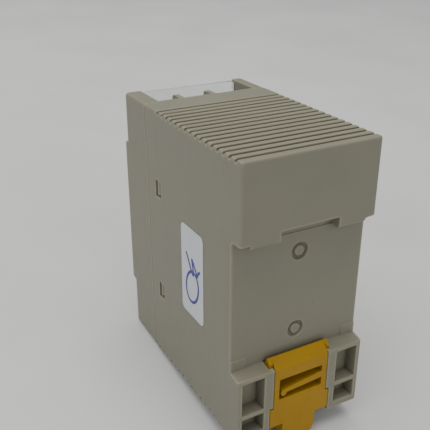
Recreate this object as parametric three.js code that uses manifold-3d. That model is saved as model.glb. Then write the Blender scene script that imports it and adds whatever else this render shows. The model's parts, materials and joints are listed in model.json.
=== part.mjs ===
// A slim power supply for a 35 mm mounting rail: a ribbed two-part case with a yellow rail clip,
// two rows of three screw terminals behind clear flaps, and the electronics that the case holds.
// Units are millimetres and +Z is up. Inside this file X runs across the case from its middle,
// Y runs from the rear face (0) to the front (negative), and Z runs up from the case's foot.
// The exported group moves that so the origin lies on the rail's seat, half way up the rail.

import * as THREE from 'three';
import { mergeVertices } from 'three/addons/utils/BufferGeometryUtils.js';
import Module from 'manifold-3d';

const wasm = await Module();
wasm.setup();

// Driving dimensions of the case
const caseWidth = 37.5;
const caseHeight = 75;
const caseDepth = 65.7;
const wall = 2;
const seamDepth = 49.6;
const seamStep = 0.8;
const seamStepHeight = 9.8;
const seamGap = 0.2;
const roofReach = 51.5;
const topEdgeRadius = 1.2;

// The rail and the features that hold it
const railHeight = 35;
const railPlay = 0.15;
const railThickness = 1;
const channelDepth = 3.8;
const hookThickness = 2.5;
const hookDrop = 1.45;
const hookRoom = 1.7;
const hookRound = 1.3;
const hookNotchHalf = 8.05;
const lowerBlockSlope = 0.85;
const seatRelief = 0.2;
const dimpleRadius = 2.3;
const dimpleDepth = 0.6;
const dimpleGroove = 0.8;
const dimpleOffset = 10.95;
const ledgeLength = 4.3;
const ledgeHeight = 0.25;
const ledgeRise = 3;

// Ribs across the roof and the foot
const ribCount = 16;
const ribPitch = 2.65;
const ribGroove = 1.1;
const ribGrooveDepth = 0.9;
const roofRibStart = 2.5;
const footRibStart = 8.9;

// The rail clip and its slot
const clipHalf = 8;
const clipTongueReach = 1.1;
const clipShoulderReach = 1;
const clipFit = 0.15;
const clipThickness = 3.6;
const clipTongueThickness = 2.35;
const clipTongueSetback = 1.25;
const clipNoseRise = 1.7;
const clipNoseThickness = 1;
const shoulderTop = 6.95;
const shoulderFoot = 1.15;
const tabHalf = 5;
const tabReach = 5.6;
const tabRound = 3.6;
const windowRim = 1.55;
const windowTop = 15.5;
const windowFoot = 9.4;
const armRootHeight = 1.9;
const armRootFoot = 11.8;
const armTipInset = 1.35;
const armTipZ = 11.1;
const armTipRadius = 0.95;
const armTipHeight = 1.2;
const armRootOverlap = 0.5;
const noseCrest = 0.4;
const noseUnderSeat = 0.1;
const shoulderRoomAbove = 0.4;
const noseRecessRise = 3.6;
const noseRecessDepth = 0.5;
const noseRecessMargin = 0.35;

// Pockets beside the clip
const pocketWall = 1.65;
const pocketRim = 1.4;
const pocketFoot = 1.8;
const pocketRib = 1.1;
const pocketLowerTop = 7.2;
const pocketTop = 18;

// The raised middle of the front and the two terminal recesses
const upperRecessHeight = 14.4;
const panelFoot = 15.4;
const panelBevel = 0.9;
const upperFrontDepth = 63.8;
const lowerFrontDepth = 63.6;
const panelWall = 2;
const recessRight = 14.15;
const recessLeft = 15.25;
const recessBack = 53.2;
const recessBackWall = 1.4;
const backWallDrop = 1.6;
const shelfWall = 2.2;
const terminalPitch = 10;
const partitionThickness = 1.6;
const partitionFront = 60.9;
const partitionDrop = 1.3;

// Snap windows and tongues that hold the two halves together
const snapHeight = 4.7;
const snapWindowRear = 41.6;
const snapWindowFront = 44.8;
const snapUpperDrop = 21.65;
const snapLowerZ = 21.8;
const snapTongue = 1.2;
const snapFit = 0.15;
const snapCatch = 0.9;
const snapSlit = 0.3;

// Terminals
const blockFront = 56;
const blockHeight = 10.3;
const blockBar = 3.8;
const boreRoom = 0.4;
const plateThickness = 0.8;
const platePlay = 0.4;
const plateLow = 1.4;
const plateHigh = 9.8;
const tailWidth = 3;
const tailPlay = 0.2;
const screwRise = 5.6;
const screwRadius = 1.6;
const screwHeadInset = 0.2;
const screwHeadHeight = 1.9;
const screwLength = 4.4;
const screwSlot = 0.9;
const screwSlotDepth = 0.9;
const threadPlay = 0.15;
const clampInset = 0.4;
const clampThickness = 0.8;
const restGap = 0.1;

// Clear flaps over the terminals
const flapThickness = 1.1;
const flapFrontGap = 0.7;
const flapAxisDepth = 62.3;
const flapAxisRise = 1.65;
const flapBarrelRadius = 1.05;
const flapPinRadius = 0.75;
const flapPinLength = 1.3;
const flapPinPlay = 0.12;
const flapSideGap = 0.2;
const flapGripDepth = 0.6;
const flapEndGap = 0.2;
const flapPinEndPlay = 0.3;

// Label, sticker, indicator and adjuster
const labelRecess = 0.4;
const labelHalf = 14.5;
const labelAbovePanelFoot = 13.1;
const labelBelowPanelTop = 12.1;
const labelFit = 0.15;
const labelThickness = 0.25;
const labelRound = 1;
const stickerThickness = 0.15;
const stickerFront = 29.2;
const stickerRear = 17.2;
const stickerFoot = 24.7;
const stickerTop = 50;
const stickerRound = 1.5;
const lampX = -9;
const lampDrop = 6.6;
const lampPlay = 0.2;
const lampRim = 0.35;
const lampRimHeight = 0.9;
const lampDomeHeight = 1.15;
const lampSetback = 1.2;
const lampRadius = 1.5;
const adjusterX = 9;
const adjusterZ = 23;
const adjusterRadius = 1.9;
const adjusterPlay = 0.15;
const adjusterHolePlay = 0.3;
const adjusterBodyHalf = 3.3;
const adjusterSetback = 0.6;
const adjusterSlot = 0.7;
const adjusterSlotHalf = 1.5;
const adjusterPointer = 2.5;

// Boards and what they carry
const boardThickness = 1.6;
const boardFront = 49.4;
const boardHalf = 15;
const boardFoot = 3.5;
const boardDrop = 4;
const smallBoardThickness = 1.2;
const smallBoardFront = 60.9;
const smallBoardHalf = 12.4;
const smallBoardFoot = 19;
const smallBoardDrop = 3.6;
const pinSize = 0.64;
const pinHole = 0.95;
const pinPitch = 2.54;
const linkX = 0;
const linkZ = 30;
const coreHalf = 10;
const coreLength = 20;
const coreThickness = 8;
const coreLeg = 2.5;
const coreMiddleHalf = 3;
const transformerZ = 41;
const bobbinWall = 1;
const bobbinPlay = 0.2;
const bobbinRim = 2.6;
const windingBuild = 2.2;
const windingRound = 1.6;
const coreGap = 0.1;
const chokeX = 9;
const chokeDrop = 9;
const chokeOuter = 4.8;
const chokeInner = 2.6;
const chokeThickness = 5;
const chokeSplit = 1.2;
const wireThickness = 0.8;
const canRim = 0.5;
const inputCan = { x: -8, drop: 11, radius: 6.8, length: 26 };
const outputCans = [{ x: 3.6, z: 24.6 }, { x: 3.6, z: 13 }];
const outputCanRadius = 4.8;
const outputCanLength = 20;
const filmBoxSize = { left: 1.2, right: 14.6, foot: 50.2, top: 55.4, length: 11, round: 0.6 };
const bridgeSize = { left: -14.6, right: -11, foot: 46.4, top: 51.8, length: 10, corner: 1.4 };
const fuseSize = { drop: 1.1, stand: 3, half: 9, capLength: 3.5, capRadius: 2.2, tubeRadius: 1.9 };
const discSize = { x: 12.6, z: 45.5, stand: 5, radius: 3.6, half: 1.2 };
const discLeg = 0.6;
const discLegSpread = 1.9;
const drumSize = { x: -5.6, z: 12.4, radius: 4.4, waist: 3.6, flange: 1.2, length: 10 };
const opticSize = { left: -4, right: 2, foot: 30.2, top: 32.4, height: 3.4, legs: 2, legLength: 0.5 };
const controlSize = { left: -12, right: -6, foot: 38, top: 43, height: 2.1, legs: 4, legLength: 0.8 };
const legThickness = 0.5;
const packageHalf = 5;
const packageDepth = 4.3;
const packageBody = 9;
const packageLength = 15.5;
const packageTab = 1.3;
const packageStand = 4;
const tabHole = 12.6;
const tabHoleRadius = 1.8;
const sinkFlange = 4.5;
const sinkLength = 30;
const sinkHoleRadius = 1.6;
const sinkFromTongue = 0.3;
const screwedGap = 0.1;
const switchPlace = { z: 21.5, foot: 12, top: 33 };
const diodePlace = { z: 16, foot: 6, top: 36 };
const smallScrewHead = 2.6;
const smallScrewRadius = 1.4;
const smallScrewHeadHeight = 1.8;
const smallScrewLength = 3.6;
const sheetThickness = 0.3;
const sheetPlay = 0.15;
const sinkThickness = 1.8;

const frontY = -caseDepth;
const halfWidth = caseWidth / 2;
const innerHalf = halfWidth - wall;
const railCentre = caseHeight / 2;
const channelTop = railCentre + railHeight / 2 + railPlay;
const channelFoot = railCentre - railHeight / 2 - railPlay;
const boardRear = boardFront - boardThickness;
const partsStart = boardRear - 0.8;
const roofInside = caseHeight - wall - ribGrooveDepth / 2;

// Places that follow from the driving dimensions
const panelTop = caseHeight - upperRecessHeight;
const snapUpperZ = caseHeight - snapUpperDrop;
const labelFoot = panelFoot + labelAbovePanelFoot;
const labelTop = panelTop - labelBelowPanelTop;
const lampZ = panelTop - lampDrop;
const boardTop = caseHeight - boardDrop;
const smallBoardTop = panelTop - smallBoardDrop;
const chokeZ = boardTop - chokeDrop;
const plateWidth = terminalPitch - partitionThickness - 2 * platePlay;
const clampSize = plateWidth - 2 * clampInset;
const screwHeadRadius = clampSize / 2 - screwHeadInset;
const clipTongueHalf = clipHalf + clipTongueReach;
const clipShoulderHalf = clipHalf + clipShoulderReach;
const windowHalf = clipHalf - windowRim;
const armTipX = windowHalf - armTipInset;
const pocketInner = clipTongueHalf + clipFit + pocketWall;
const sinkX = innerHalf - snapFit - snapTongue - sinkFromTongue;
const packageX = sinkX - sinkThickness - screwedGap;
const packageY = -partsStart + packageStand;
const holeY = packageY + tabHole;

// The two terminal zones are mirror images: a zone's rise is measured from its shelf outwards.
const upper = {
  name: 'upper', shelf: panelTop, out: 1, end: caseHeight, front: upperFrontDepth,
};
const lower = {
  name: 'lower', shelf: panelFoot, out: -1, end: 0, front: lowerFrontDepth,
};
const rise = (zone, distance) => zone.shelf + zone.out * distance;
const openEnd = (zone) => Math.abs(zone.end - zone.shelf);
const terminalX = (place) => (1 - place) * terminalPitch;

// Finishes
const beige = { color: 0xb3ae9c, roughness: 0.55, metalness: 0 };
const yellow = { color: 0xc89b06, roughness: 0.45, metalness: 0 };
const clear = { color: 0xdfe6e4, roughness: 0.1, metalness: 0, transparent: true, opacity: 0.3 };
const paper = { color: 0xe4e6e6, roughness: 0.6, metalness: 0 };
const black = { color: 0x1f1f20, roughness: 0.6, metalness: 0 };
const plated = { color: 0xc9c7bf, roughness: 0.3, metalness: 1 };
const board = { color: 0x2f6b3a, roughness: 0.6, metalness: 0 };
const ferrite = { color: 0x3a3a3c, roughness: 0.8, metalness: 0 };
const tape = { color: 0xd8b93a, roughness: 0.5, metalness: 0 };
const copper = { color: 0xb5622c, roughness: 0.35, metalness: 1 };
const sleeve = { color: 0x24406f, roughness: 0.4, metalness: 0 };
const bareMetal = { color: 0xb9bcc0, roughness: 0.4, metalness: 1 };
const filmBox = { color: 0xd9a441, roughness: 0.5, metalness: 0 };
const lamp = { color: 0x3fae4a, roughness: 0.2, metalness: 0 };
const blue = { color: 0x2b66b8, roughness: 0.4, metalness: 0 };
const ceramic = { color: 0xd8d3c4, roughness: 0.6, metalness: 0 };
const disc = { color: 0x2f6f52, roughness: 0.5, metalness: 0 };
const film = { color: 0xe8e4d2, roughness: 0.35, metalness: 0 };

// Turns a three.js geometry into a closed solid with shared corners.
function solid(geometry) {
  const bare = new THREE.BufferGeometry();
  bare.setAttribute('position', geometry.getAttribute('position'));
  if (geometry.index) bare.setIndex(geometry.index);
  const merged = mergeVertices(bare, 1e-4);
  const corners = merged.index.array;
  const kept = [];
  for (let i = 0; i < corners.length; i += 3) {
    const [a, b, c] = [corners[i], corners[i + 1], corners[i + 2]];
    if (a !== b && b !== c && c !== a) kept.push(a, b, c);
  }
  return new wasm.Manifold(new wasm.Mesh({
    numProp: 3,
    vertProperties: Float32Array.from(merged.getAttribute('position').array),
    triVerts: Uint32Array.from(kept),
  }));
}

const join = (first, ...rest) => rest.reduce((sum, piece) => sum.add(piece), first);
const cut = (first, ...rest) => rest.reduce((sum, piece) => sum.subtract(piece), first);

// A block between two places on each axis, given in either order.
function block(xa, xb, ya, yb, za, zb) {
  const shape = new THREE.BoxGeometry(Math.abs(xb - xa), Math.abs(yb - ya), Math.abs(zb - za));
  shape.translate((xa + xb) / 2, (ya + yb) / 2, (za + zb) / 2);
  return solid(shape);
}

// A round bar along X or Y between two places.
function barX(y, z, radius, xa, xb, sides = 20) {
  const shape = new THREE.CylinderGeometry(radius, radius, Math.abs(xb - xa), sides);
  shape.rotateZ(Math.PI / 2);
  shape.translate((xa + xb) / 2, y, z);
  return solid(shape);
}

function barY(x, z, radius, ya, yb, sides = 24) {
  const shape = new THREE.CylinderGeometry(radius, radius, Math.abs(yb - ya), sides);
  shape.translate(x, (ya + yb) / 2, z);
  return solid(shape);
}

// Outlines pushed along an axis: alongX takes (y, z) outlines, alongY takes (x, z) ones and
// alongZ takes (x, y) ones.
function pushed(outline, length) {
  return new THREE.ExtrudeGeometry(outline, { depth: length, bevelEnabled: false, curveSegments: 6 });
}

function alongX(outline, xa, xb) {
  const shape = pushed(outline, xb - xa);
  shape.applyMatrix4(new THREE.Matrix4().makeBasis(
    new THREE.Vector3(0, 1, 0), new THREE.Vector3(0, 0, 1), new THREE.Vector3(1, 0, 0),
  ));
  shape.translate(xa, 0, 0);
  return solid(shape);
}

function alongY(outline, ya, yb) {
  const shape = pushed(outline, yb - ya);
  shape.applyMatrix4(new THREE.Matrix4().makeBasis(
    new THREE.Vector3(1, 0, 0), new THREE.Vector3(0, 0, 1), new THREE.Vector3(0, -1, 0),
  ));
  shape.translate(0, yb, 0);
  return solid(shape);
}

function alongZ(outline, za, zb) {
  const shape = pushed(outline, zb - za);
  shape.translate(0, 0, za);
  return solid(shape);
}

function outline(...points) {
  return new THREE.Shape(points.map(([a, b]) => new THREE.Vector2(a, b)));
}

// A rectangle with round corners.
function roundedOutline(a0, a1, b0, b1, radius) {
  const shape = new THREE.Shape();
  shape.moveTo(a0 + radius, b0);
  shape.lineTo(a1 - radius, b0);
  shape.absarc(a1 - radius, b0 + radius, radius, -Math.PI / 2, 0);
  shape.lineTo(a1, b1 - radius);
  shape.absarc(a1 - radius, b1 - radius, radius, 0, Math.PI / 2);
  shape.lineTo(a0 + radius, b1);
  shape.absarc(a0 + radius, b1 - radius, radius, Math.PI / 2, Math.PI);
  shape.lineTo(a0, b0 + radius);
  shape.absarc(a0 + radius, b0 + radius, radius, Math.PI, 1.5 * Math.PI);
  return shape;
}

const model = new THREE.Group();
model.position.set(0, channelDepth, -railCentre);

function place(name, piece, finish) {
  const { numProp, vertProperties, triVerts } = piece.getMesh();
  const points = new Float32Array((vertProperties.length / numProp) * 3);
  for (let i = 0; i < points.length / 3; i += 1) {
    points.set(vertProperties.subarray(i * numProp, i * numProp + 3), i * 3);
  }
  const geometry = new THREE.BufferGeometry();
  geometry.setAttribute('position', new THREE.BufferAttribute(points, 3));
  geometry.setIndex(new THREE.BufferAttribute(Uint32Array.from(triVerts), 1));
  geometry.computeVertexNormals();
  const mesh = new THREE.Mesh(geometry, new THREE.MeshStandardMaterial(finish));
  mesh.name = name;
  model.add(mesh);
}

// Rear half of the case: a bucket with the rail channel, the hook and the clip's guides behind.
function rearCase() {
  const side = new THREE.Shape();
  side.moveTo(-seamDepth, 0);
  side.lineTo(0, 0);
  side.lineTo(0, channelFoot - lowerBlockSlope);
  side.lineTo(-channelDepth, channelFoot);
  side.lineTo(-channelDepth, channelTop - hookRound);
  side.absarc(-channelDepth + hookRound, channelTop - hookRound, hookRound, Math.PI, Math.PI / 2, true);
  side.lineTo(0, channelTop);
  side.lineTo(0, caseHeight - topEdgeRadius);
  side.absarc(-topEdgeRadius, caseHeight - topEdgeRadius, topEdgeRadius, 0, Math.PI / 2);
  side.lineTo(-seamDepth, caseHeight);
  const body = join(
    alongX(side, -halfWidth, halfWidth),
    block(-halfWidth, halfWidth, -seamDepth - seamStep, -seamDepth, roofInside, caseHeight),
    block(-recessLeft + seamGap, recessRight - seamGap, -roofReach, -seamDepth, roofInside, caseHeight),
    block(innerHalf, halfWidth, -seamDepth - seamStep, -seamDepth, caseHeight - seamStepHeight, caseHeight),
    block(-halfWidth, -innerHalf, -seamDepth - seamStep, -seamDepth, caseHeight - seamStepHeight, caseHeight),
  );
  const room = block(-innerHalf, innerHalf, -roofReach - 1, -channelDepth - wall, wall, roofInside);
  return join(
    cut(
      body, room, ...ribCuts(roofRibStart, caseHeight), ...ribCuts(footRibStart, 0),
      ...hookCuts(), ...clipSlot(), ...pockets(), ...snapWindows(), ...dimples(),
    ),
    ...hookLips(), ...ledges(), ...dimpleDiscs(),
  );
}

function ribCuts(start, level) {
  const cuts = [];
  for (let i = 0; i < ribCount; i += 1) {
    const y = -start - i * ribPitch;
    cuts.push(block(
      -halfWidth - 1, halfWidth + 1, y - ribGroove / 2, y + ribGroove / 2,
      level - ribGrooveDepth, level + ribGrooveDepth,
    ));
  }
  return cuts;
}

// Room behind the hook for the rail's upper edge, and the gap between the two lips. Both are
// sunk a little below the rail's seat, so the seat alone touches the rail.
function hookCuts() {
  const top = channelTop + hookRoom;
  const floor = -channelDepth - seatRelief;
  return [
    block(-innerHalf, innerHalf, floor, -hookThickness, channelTop - hookDrop, top),
    block(-hookNotchHalf, hookNotchHalf, floor, 1, channelTop - hookDrop, top),
  ];
}

function hookLips() {
  const side = new THREE.Shape();
  side.moveTo(-hookThickness, channelTop + 0.2);
  side.lineTo(-hookThickness, channelTop - hookDrop + 0.4);
  side.lineTo(-hookThickness + 0.4, channelTop - hookDrop);
  side.lineTo(-hookRound, channelTop - hookDrop);
  side.absarc(-hookRound, channelTop - hookDrop + hookRound, hookRound, -Math.PI / 2, 0);
  side.lineTo(0, channelTop + 0.2);
  return [alongX(side, hookNotchHalf, innerHalf), alongX(side, -innerHalf, -hookNotchHalf)];
}

// The clip runs in a slot whose edges overhang its tongues, and opens out around its shoulders.
// A shallow recess above the slot gives the nose room in front of the rail's seat.
function clipSlot() {
  const shoulderRoom = clipShoulderHalf + clipFit;
  const tongueRoom = clipTongueHalf + clipFit;
  const recess = tongueRoom + noseRecessMargin;
  const overhang = -clipTongueSetback + clipFit;
  const floor = -channelDepth - seatRelief;
  return [
    block(-clipHalf - clipFit, clipHalf + clipFit, floor, 1, -1, channelFoot + 0.01),
    block(-tongueRoom, tongueRoom, floor, overhang, -1, channelFoot + 0.01),
    block(-shoulderRoom, shoulderRoom, floor, 1, -1, shoulderTop + shoulderRoomAbove),
    block(
      -recess, recess, -channelDepth - noseRecessDepth, -channelDepth + 0.01,
      channelFoot - 1, channelFoot + noseRecessRise,
    ),
  ];
}

function pockets() {
  const outer = halfWidth - pocketRim;
  return [-1, 1].flatMap((way) => [
    block(way * pocketInner, way * outer, -channelDepth, 1, pocketFoot, pocketLowerTop),
    block(way * pocketInner, way * outer, -channelDepth, 1, pocketLowerTop + pocketRib, pocketTop),
  ]);
}

function snapWindows() {
  return [snapUpperZ, snapLowerZ].map((z) => block(
    -halfWidth - 1, halfWidth + 1, -snapWindowFront, -snapWindowRear,
    z - snapHeight / 2, z + snapHeight / 2,
  ));
}

function dimples() {
  return [-1, 1].map((way) => barY(
    0, railCentre + way * dimpleOffset, dimpleRadius,
    -channelDepth - dimpleDepth, -channelDepth + 1,
  ));
}

function dimpleDiscs() {
  return [-1, 1].map((way) => barY(
    0, railCentre + way * dimpleOffset, dimpleRadius - dimpleGroove,
    -channelDepth - dimpleDepth - 0.1, -channelDepth - dimpleDepth / 2,
  ));
}

function ledges() {
  return [-1, 1].map((way) => block(
    way * (halfWidth - ledgeLength), way * halfWidth,
    -channelDepth - 0.1, -channelDepth + ledgeHeight, channelFoot - 0.1, channelFoot + ledgeRise,
  ));
}

// Front half: side walls, the raised middle and two recesses open to the front and to one end.
function frontCover() {
  const side = outline(
    [-seamDepth - seamGap, 0], [-seamDepth - seamGap, caseHeight - seamStepHeight - seamGap],
    [-seamDepth - seamStep - seamGap, caseHeight - seamStepHeight - seamGap],
    [-seamDepth - seamStep - seamGap, caseHeight], [-upperFrontDepth, caseHeight],
    [-upperFrontDepth, panelTop], [frontY, panelTop - panelBevel],
    [frontY, panelFoot + panelBevel], [-lowerFrontDepth, panelFoot], [-lowerFrontDepth, 0],
  );
  const behind = -recessBack + recessBackWall;
  const body = cut(
    alongX(side, -halfWidth, halfWidth),
    ...[upper, lower].map((zone) => block(
      -recessLeft, recessRight, frontY - 1, -recessBack, zone.shelf, zone.end + zone.out,
    )),
    block(-innerHalf, innerHalf, behind, 0, wall, roofInside),
    block(-recessLeft, recessRight, behind, 0, roofInside - 1, caseHeight + 1),
    block(
      -innerHalf, innerHalf, frontY + panelWall, 0,
      panelFoot + shelfWall, panelTop - shelfWall,
    ),
    block(-recessLeft, recessRight, -recessBack - 1, 0, caseHeight - backWallDrop, caseHeight + 1),
    block(-labelHalf, labelHalf, frontY - 1, frontY + labelRecess, labelFoot, labelTop),
    barY(lampX, lampZ, lampRadius + lampPlay, frontY - 1, frontY + panelWall + 1),
    barY(adjusterX, adjusterZ, adjusterRadius + adjusterHolePlay, frontY - 1, frontY + panelWall + 1),
  );
  const fitted = join(body, ...partitions(upper), ...partitions(lower), ...snapTongues());
  return cut(fitted, ...tailSlots(upper), ...tailSlots(lower), ...flapPinHoles(upper), ...flapPinHoles(lower));
}

// Walls between the terminals, each with a slot at its root for the terminal block's bar.
function partitions(zone) {
  return [-1, 1].map((way) => {
    const low = way * terminalPitch / 2 - partitionThickness / 2;
    const high = way * terminalPitch / 2 + partitionThickness / 2;
    return cut(
      block(
        low, high, -partitionFront, -recessBack + 0.1,
        rise(zone, -0.1), rise(zone, openEnd(zone) - partitionDrop),
      ),
      block(
        low - 1, high + 1, -blockFront - restGap, -recessBack,
        rise(zone, 0), rise(zone, blockBar + restGap),
      ),
    );
  });
}

function snapTongues() {
  const outer = innerHalf - snapFit;
  return [-1, 1].flatMap((way) => [snapUpperZ, snapLowerZ].map((z) => {
    const low = z - snapHeight / 2 + snapSlit;
    const high = z + snapHeight / 2 - snapSlit;
    const hook = alongZ(outline(
      [outer - 0.1, -snapWindowFront + snapCatch], [halfWidth - 0.35, -snapWindowFront + snapCatch],
      [outer + 0.4, -snapWindowRear - 0.3], [outer - 0.1, -snapWindowRear - 0.3],
    ), low, high);
    return join(
      block(way * (outer - snapTongue), way * outer, -recessBack, -snapWindowRear + 0.5, low, high),
      block(
        way * (outer - snapTongue), way * (innerHalf + 0.5),
        -recessBack, -seamDepth - 2 * seamStep, low, high,
      ),
      way > 0 ? hook : hook.mirror([1, 0, 0]),
    );
  }));
}

// Slots for the contacts' tails, through whatever lies between the plates and the board.
function tailSlots(zone) {
  const half = tailWidth / 2 + tailPlay;
  return [0, 1, 2].map((i) => block(
    terminalX(i) - half, terminalX(i) + half, -blockFront - 1, -boardRear + 1,
    rise(zone, plateLow - tailPlay), rise(zone, plateLow + plateThickness + tailPlay),
  ));
}

function flapPinHoles(zone) {
  const radius = flapPinRadius + flapPinPlay;
  const deep = flapPinLength + flapPinEndPlay;
  const z = rise(zone, flapAxisRise);
  return [
    barX(-flapAxisDepth, z, radius, recessRight - 1, recessRight + deep),
    barX(-flapAxisDepth, z, radius, -recessLeft - deep, -recessLeft + 1),
  ];
}

// Clear flap: a plate that stands on a round barrel, with a pin at each end of the barrel.
function terminalFlap(zone) {
  const right = recessRight - flapSideGap;
  const left = -recessLeft + flapSideGap;
  const z = rise(zone, flapAxisRise);
  const front = -zone.front + flapFrontGap;
  const end = rise(zone, openEnd(zone) - flapEndGap);
  return join(
    barX(-flapAxisDepth, z, flapBarrelRadius, left, right),
    barX(-flapAxisDepth, z, flapPinRadius, left - flapPinLength, right + flapPinLength, 16),
    block(left, right, front, front + flapThickness, z, end),
    block(-terminalPitch / 2, terminalPitch / 2, front - flapGripDepth, front + 0.1, end - zone.out, end),
  );
}

// Insulating block behind three terminals: a low bar that passes under the partitions, with a
// tower for each contact plate.
function terminalBlock(zone) {
  const body = block(
    -recessLeft + restGap, recessRight - restGap, -blockFront, -recessBack - restGap,
    rise(zone, restGap), rise(zone, blockHeight),
  );
  const bores = [0, 1, 2].map((i) => barY(
    terminalX(i), rise(zone, screwRise), screwRadius + boreRoom, -blockFront - 1, -recessBack + 1, 16,
  ));
  return cut(body, ...partitionNotches(zone), ...bores, ...tailSlots(zone));
}

function partitionNotches(zone) {
  const half = partitionThickness / 2 + restGap;
  return [-1, 1].map((way) => block(
    way * terminalPitch / 2 - half, way * terminalPitch / 2 + half, -blockFront - 1, 0,
    rise(zone, blockBar), rise(zone, blockHeight + 1),
  ));
}

function contactPlate(zone, x) {
  const rear = -blockFront - restGap;
  const plate = join(
    block(x - plateWidth / 2, x + plateWidth / 2, rear - plateThickness, rear,
      rise(zone, plateLow), rise(zone, plateHigh)),
    block(x - tailWidth / 2, x + tailWidth / 2, rear - plateThickness, -boardRear + 0.5,
      rise(zone, plateLow), rise(zone, plateLow + plateThickness)),
  );
  const bore = barY(x, rise(zone, screwRise), screwRadius + threadPlay, -caseDepth, 0, 16);
  const away = block(x - 3, x + 3, rear + 0.01, 0, rise(zone, screwRise - 2), rise(zone, plateHigh));
  return cut(plate, bore.subtract(away));
}

function clampWasher(zone, x) {
  const rear = -blockFront - restGap - plateThickness - restGap;
  const z = rise(zone, screwRise);
  const half = clampSize / 2;
  return cut(
    block(x - half, x + half, rear - clampThickness, rear, z - half, z + half),
    barY(x, z, screwRadius + threadPlay, -caseDepth, 0, 16),
  );
}

function terminalScrew(zone, x) {
  const under = -blockFront - plateThickness - clampThickness - 3 * restGap;
  const z = rise(zone, screwRise);
  const top = under - screwHeadHeight;
  return cut(
    join(
      barY(x, z, screwHeadRadius, top, under, 24),
      barY(x, z, screwRadius, under - 0.1, under + screwLength, 16),
    ),
    block(
      x - screwHeadRadius - 1, x + screwHeadRadius + 1, top - 1, top + screwSlotDepth,
      z - screwSlot / 2, z + screwSlot / 2,
    ),
  );
}

// The yellow rail clip: plate, tongues, nose, shoulders, window with its spring arm, and tab.
function railClip() {
  const front = -clipThickness;
  const noseFoot = channelFoot - noseUnderSeat;
  const noseTop = noseFoot + clipNoseRise;
  const noseFront = -channelDepth + railThickness + railPlay;
  const nose = alongX(outline(
    [front, noseFoot - 1], [front, noseFoot], [noseFront, noseTop],
    [noseFront + noseCrest, noseTop], [0, noseFoot - noseUnderSeat], [0, noseFoot - 1],
  ), -clipHalf, clipHalf);
  const ears = alongX(outline(
    [front, noseFoot - 1], [front, noseFoot], [noseFront, noseTop],
    [noseFront + noseCrest, noseTop], [-clipTongueSetback, noseFoot + clipNoseThickness],
    [-clipTongueSetback, noseFoot - 1],
  ), -clipTongueHalf, clipTongueHalf);
  const plate = join(
    block(-clipHalf, clipHalf, front, 0, shoulderFoot, noseFoot - 0.5),
    block(
      -clipTongueHalf, clipTongueHalf, front, front + clipTongueThickness,
      shoulderTop - 0.5, noseFoot - 0.5,
    ),
    block(-clipShoulderHalf, clipShoulderHalf, front, 0, shoulderFoot, shoulderTop),
  );
  const tab = alongY(tabOutline(), front, 0);
  const opening = block(-windowHalf, windowHalf, front - 1, 1, windowFoot, windowTop);
  return join(cut(join(plate, nose, ears, tab), opening), alongY(armOutline(), front, 0));
}

function tabOutline() {
  const shape = new THREE.Shape();
  shape.moveTo(-tabHalf, shoulderFoot + 1);
  shape.lineTo(-tabHalf, -tabReach + tabRound);
  shape.absarc(-tabHalf + tabRound, -tabReach + tabRound, tabRound, Math.PI, 1.5 * Math.PI);
  shape.lineTo(tabHalf - tabRound, -tabReach);
  shape.absarc(tabHalf - tabRound, -tabReach + tabRound, tabRound, -Math.PI / 2, 0);
  shape.lineTo(tabHalf, shoulderFoot + 1);
  return shape;
}

// The arm leaves the window's left edge, thins towards the right and ends in a round tip.
function armOutline() {
  const shape = new THREE.Shape();
  shape.moveTo(-windowHalf - armRootOverlap, armRootFoot);
  shape.lineTo(armTipX - armTipRadius, armTipZ - 0.1);
  shape.absarc(armTipX, armTipZ, armTipRadius, Math.PI, 2.5 * Math.PI);
  shape.lineTo(armTipX - armTipRadius, armTipZ + armTipHeight);
  shape.lineTo(-windowHalf - armRootOverlap, armRootFoot + armRootHeight);
  return shape;
}

function frontLabel() {
  const rear = frontY + labelRecess - 0.05;
  return alongY(roundedOutline(
    -labelHalf + labelFit, labelHalf - labelFit, labelFoot + labelFit, labelTop - labelFit, labelRound,
  ), rear - labelThickness, rear);
}

function sideSticker() {
  return alongX(roundedOutline(
    -stickerFront, -stickerRear, stickerFoot, stickerTop, stickerRound,
  ), halfWidth + 0.02, halfWidth + 0.02 + stickerThickness);
}

// Boards
function mainBoard() {
  return cut(
    block(-boardHalf, boardHalf, -boardFront, -boardRear, boardFoot, boardTop),
    ...tailSlots(upper), ...tailSlots(lower), ...linkPins(pinHole),
  );
}

function linkPins(size) {
  return [-1.5, -0.5, 0.5, 1.5].map((step) => {
    const x = linkX + step * pinPitch;
    return block(
      x - size / 2, x + size / 2, -smallBoardFront - 0.8, -boardRear + 0.8,
      linkZ - size / 2, linkZ + size / 2,
    );
  });
}

function indicatorBoard() {
  return cut(
    block(
      -smallBoardHalf, smallBoardHalf, -smallBoardFront, -smallBoardFront + smallBoardThickness,
      smallBoardFoot, smallBoardTop,
    ),
    ...linkPins(pinHole),
  );
}

function linkHeader() {
  const half = 2 * pinPitch;
  return join(
    block(linkX - half, linkX + half, -boardFront - 3.2, -boardFront - 0.2, linkZ - 1.3, linkZ + 1.3),
    ...linkPins(pinSize),
  );
}

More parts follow.
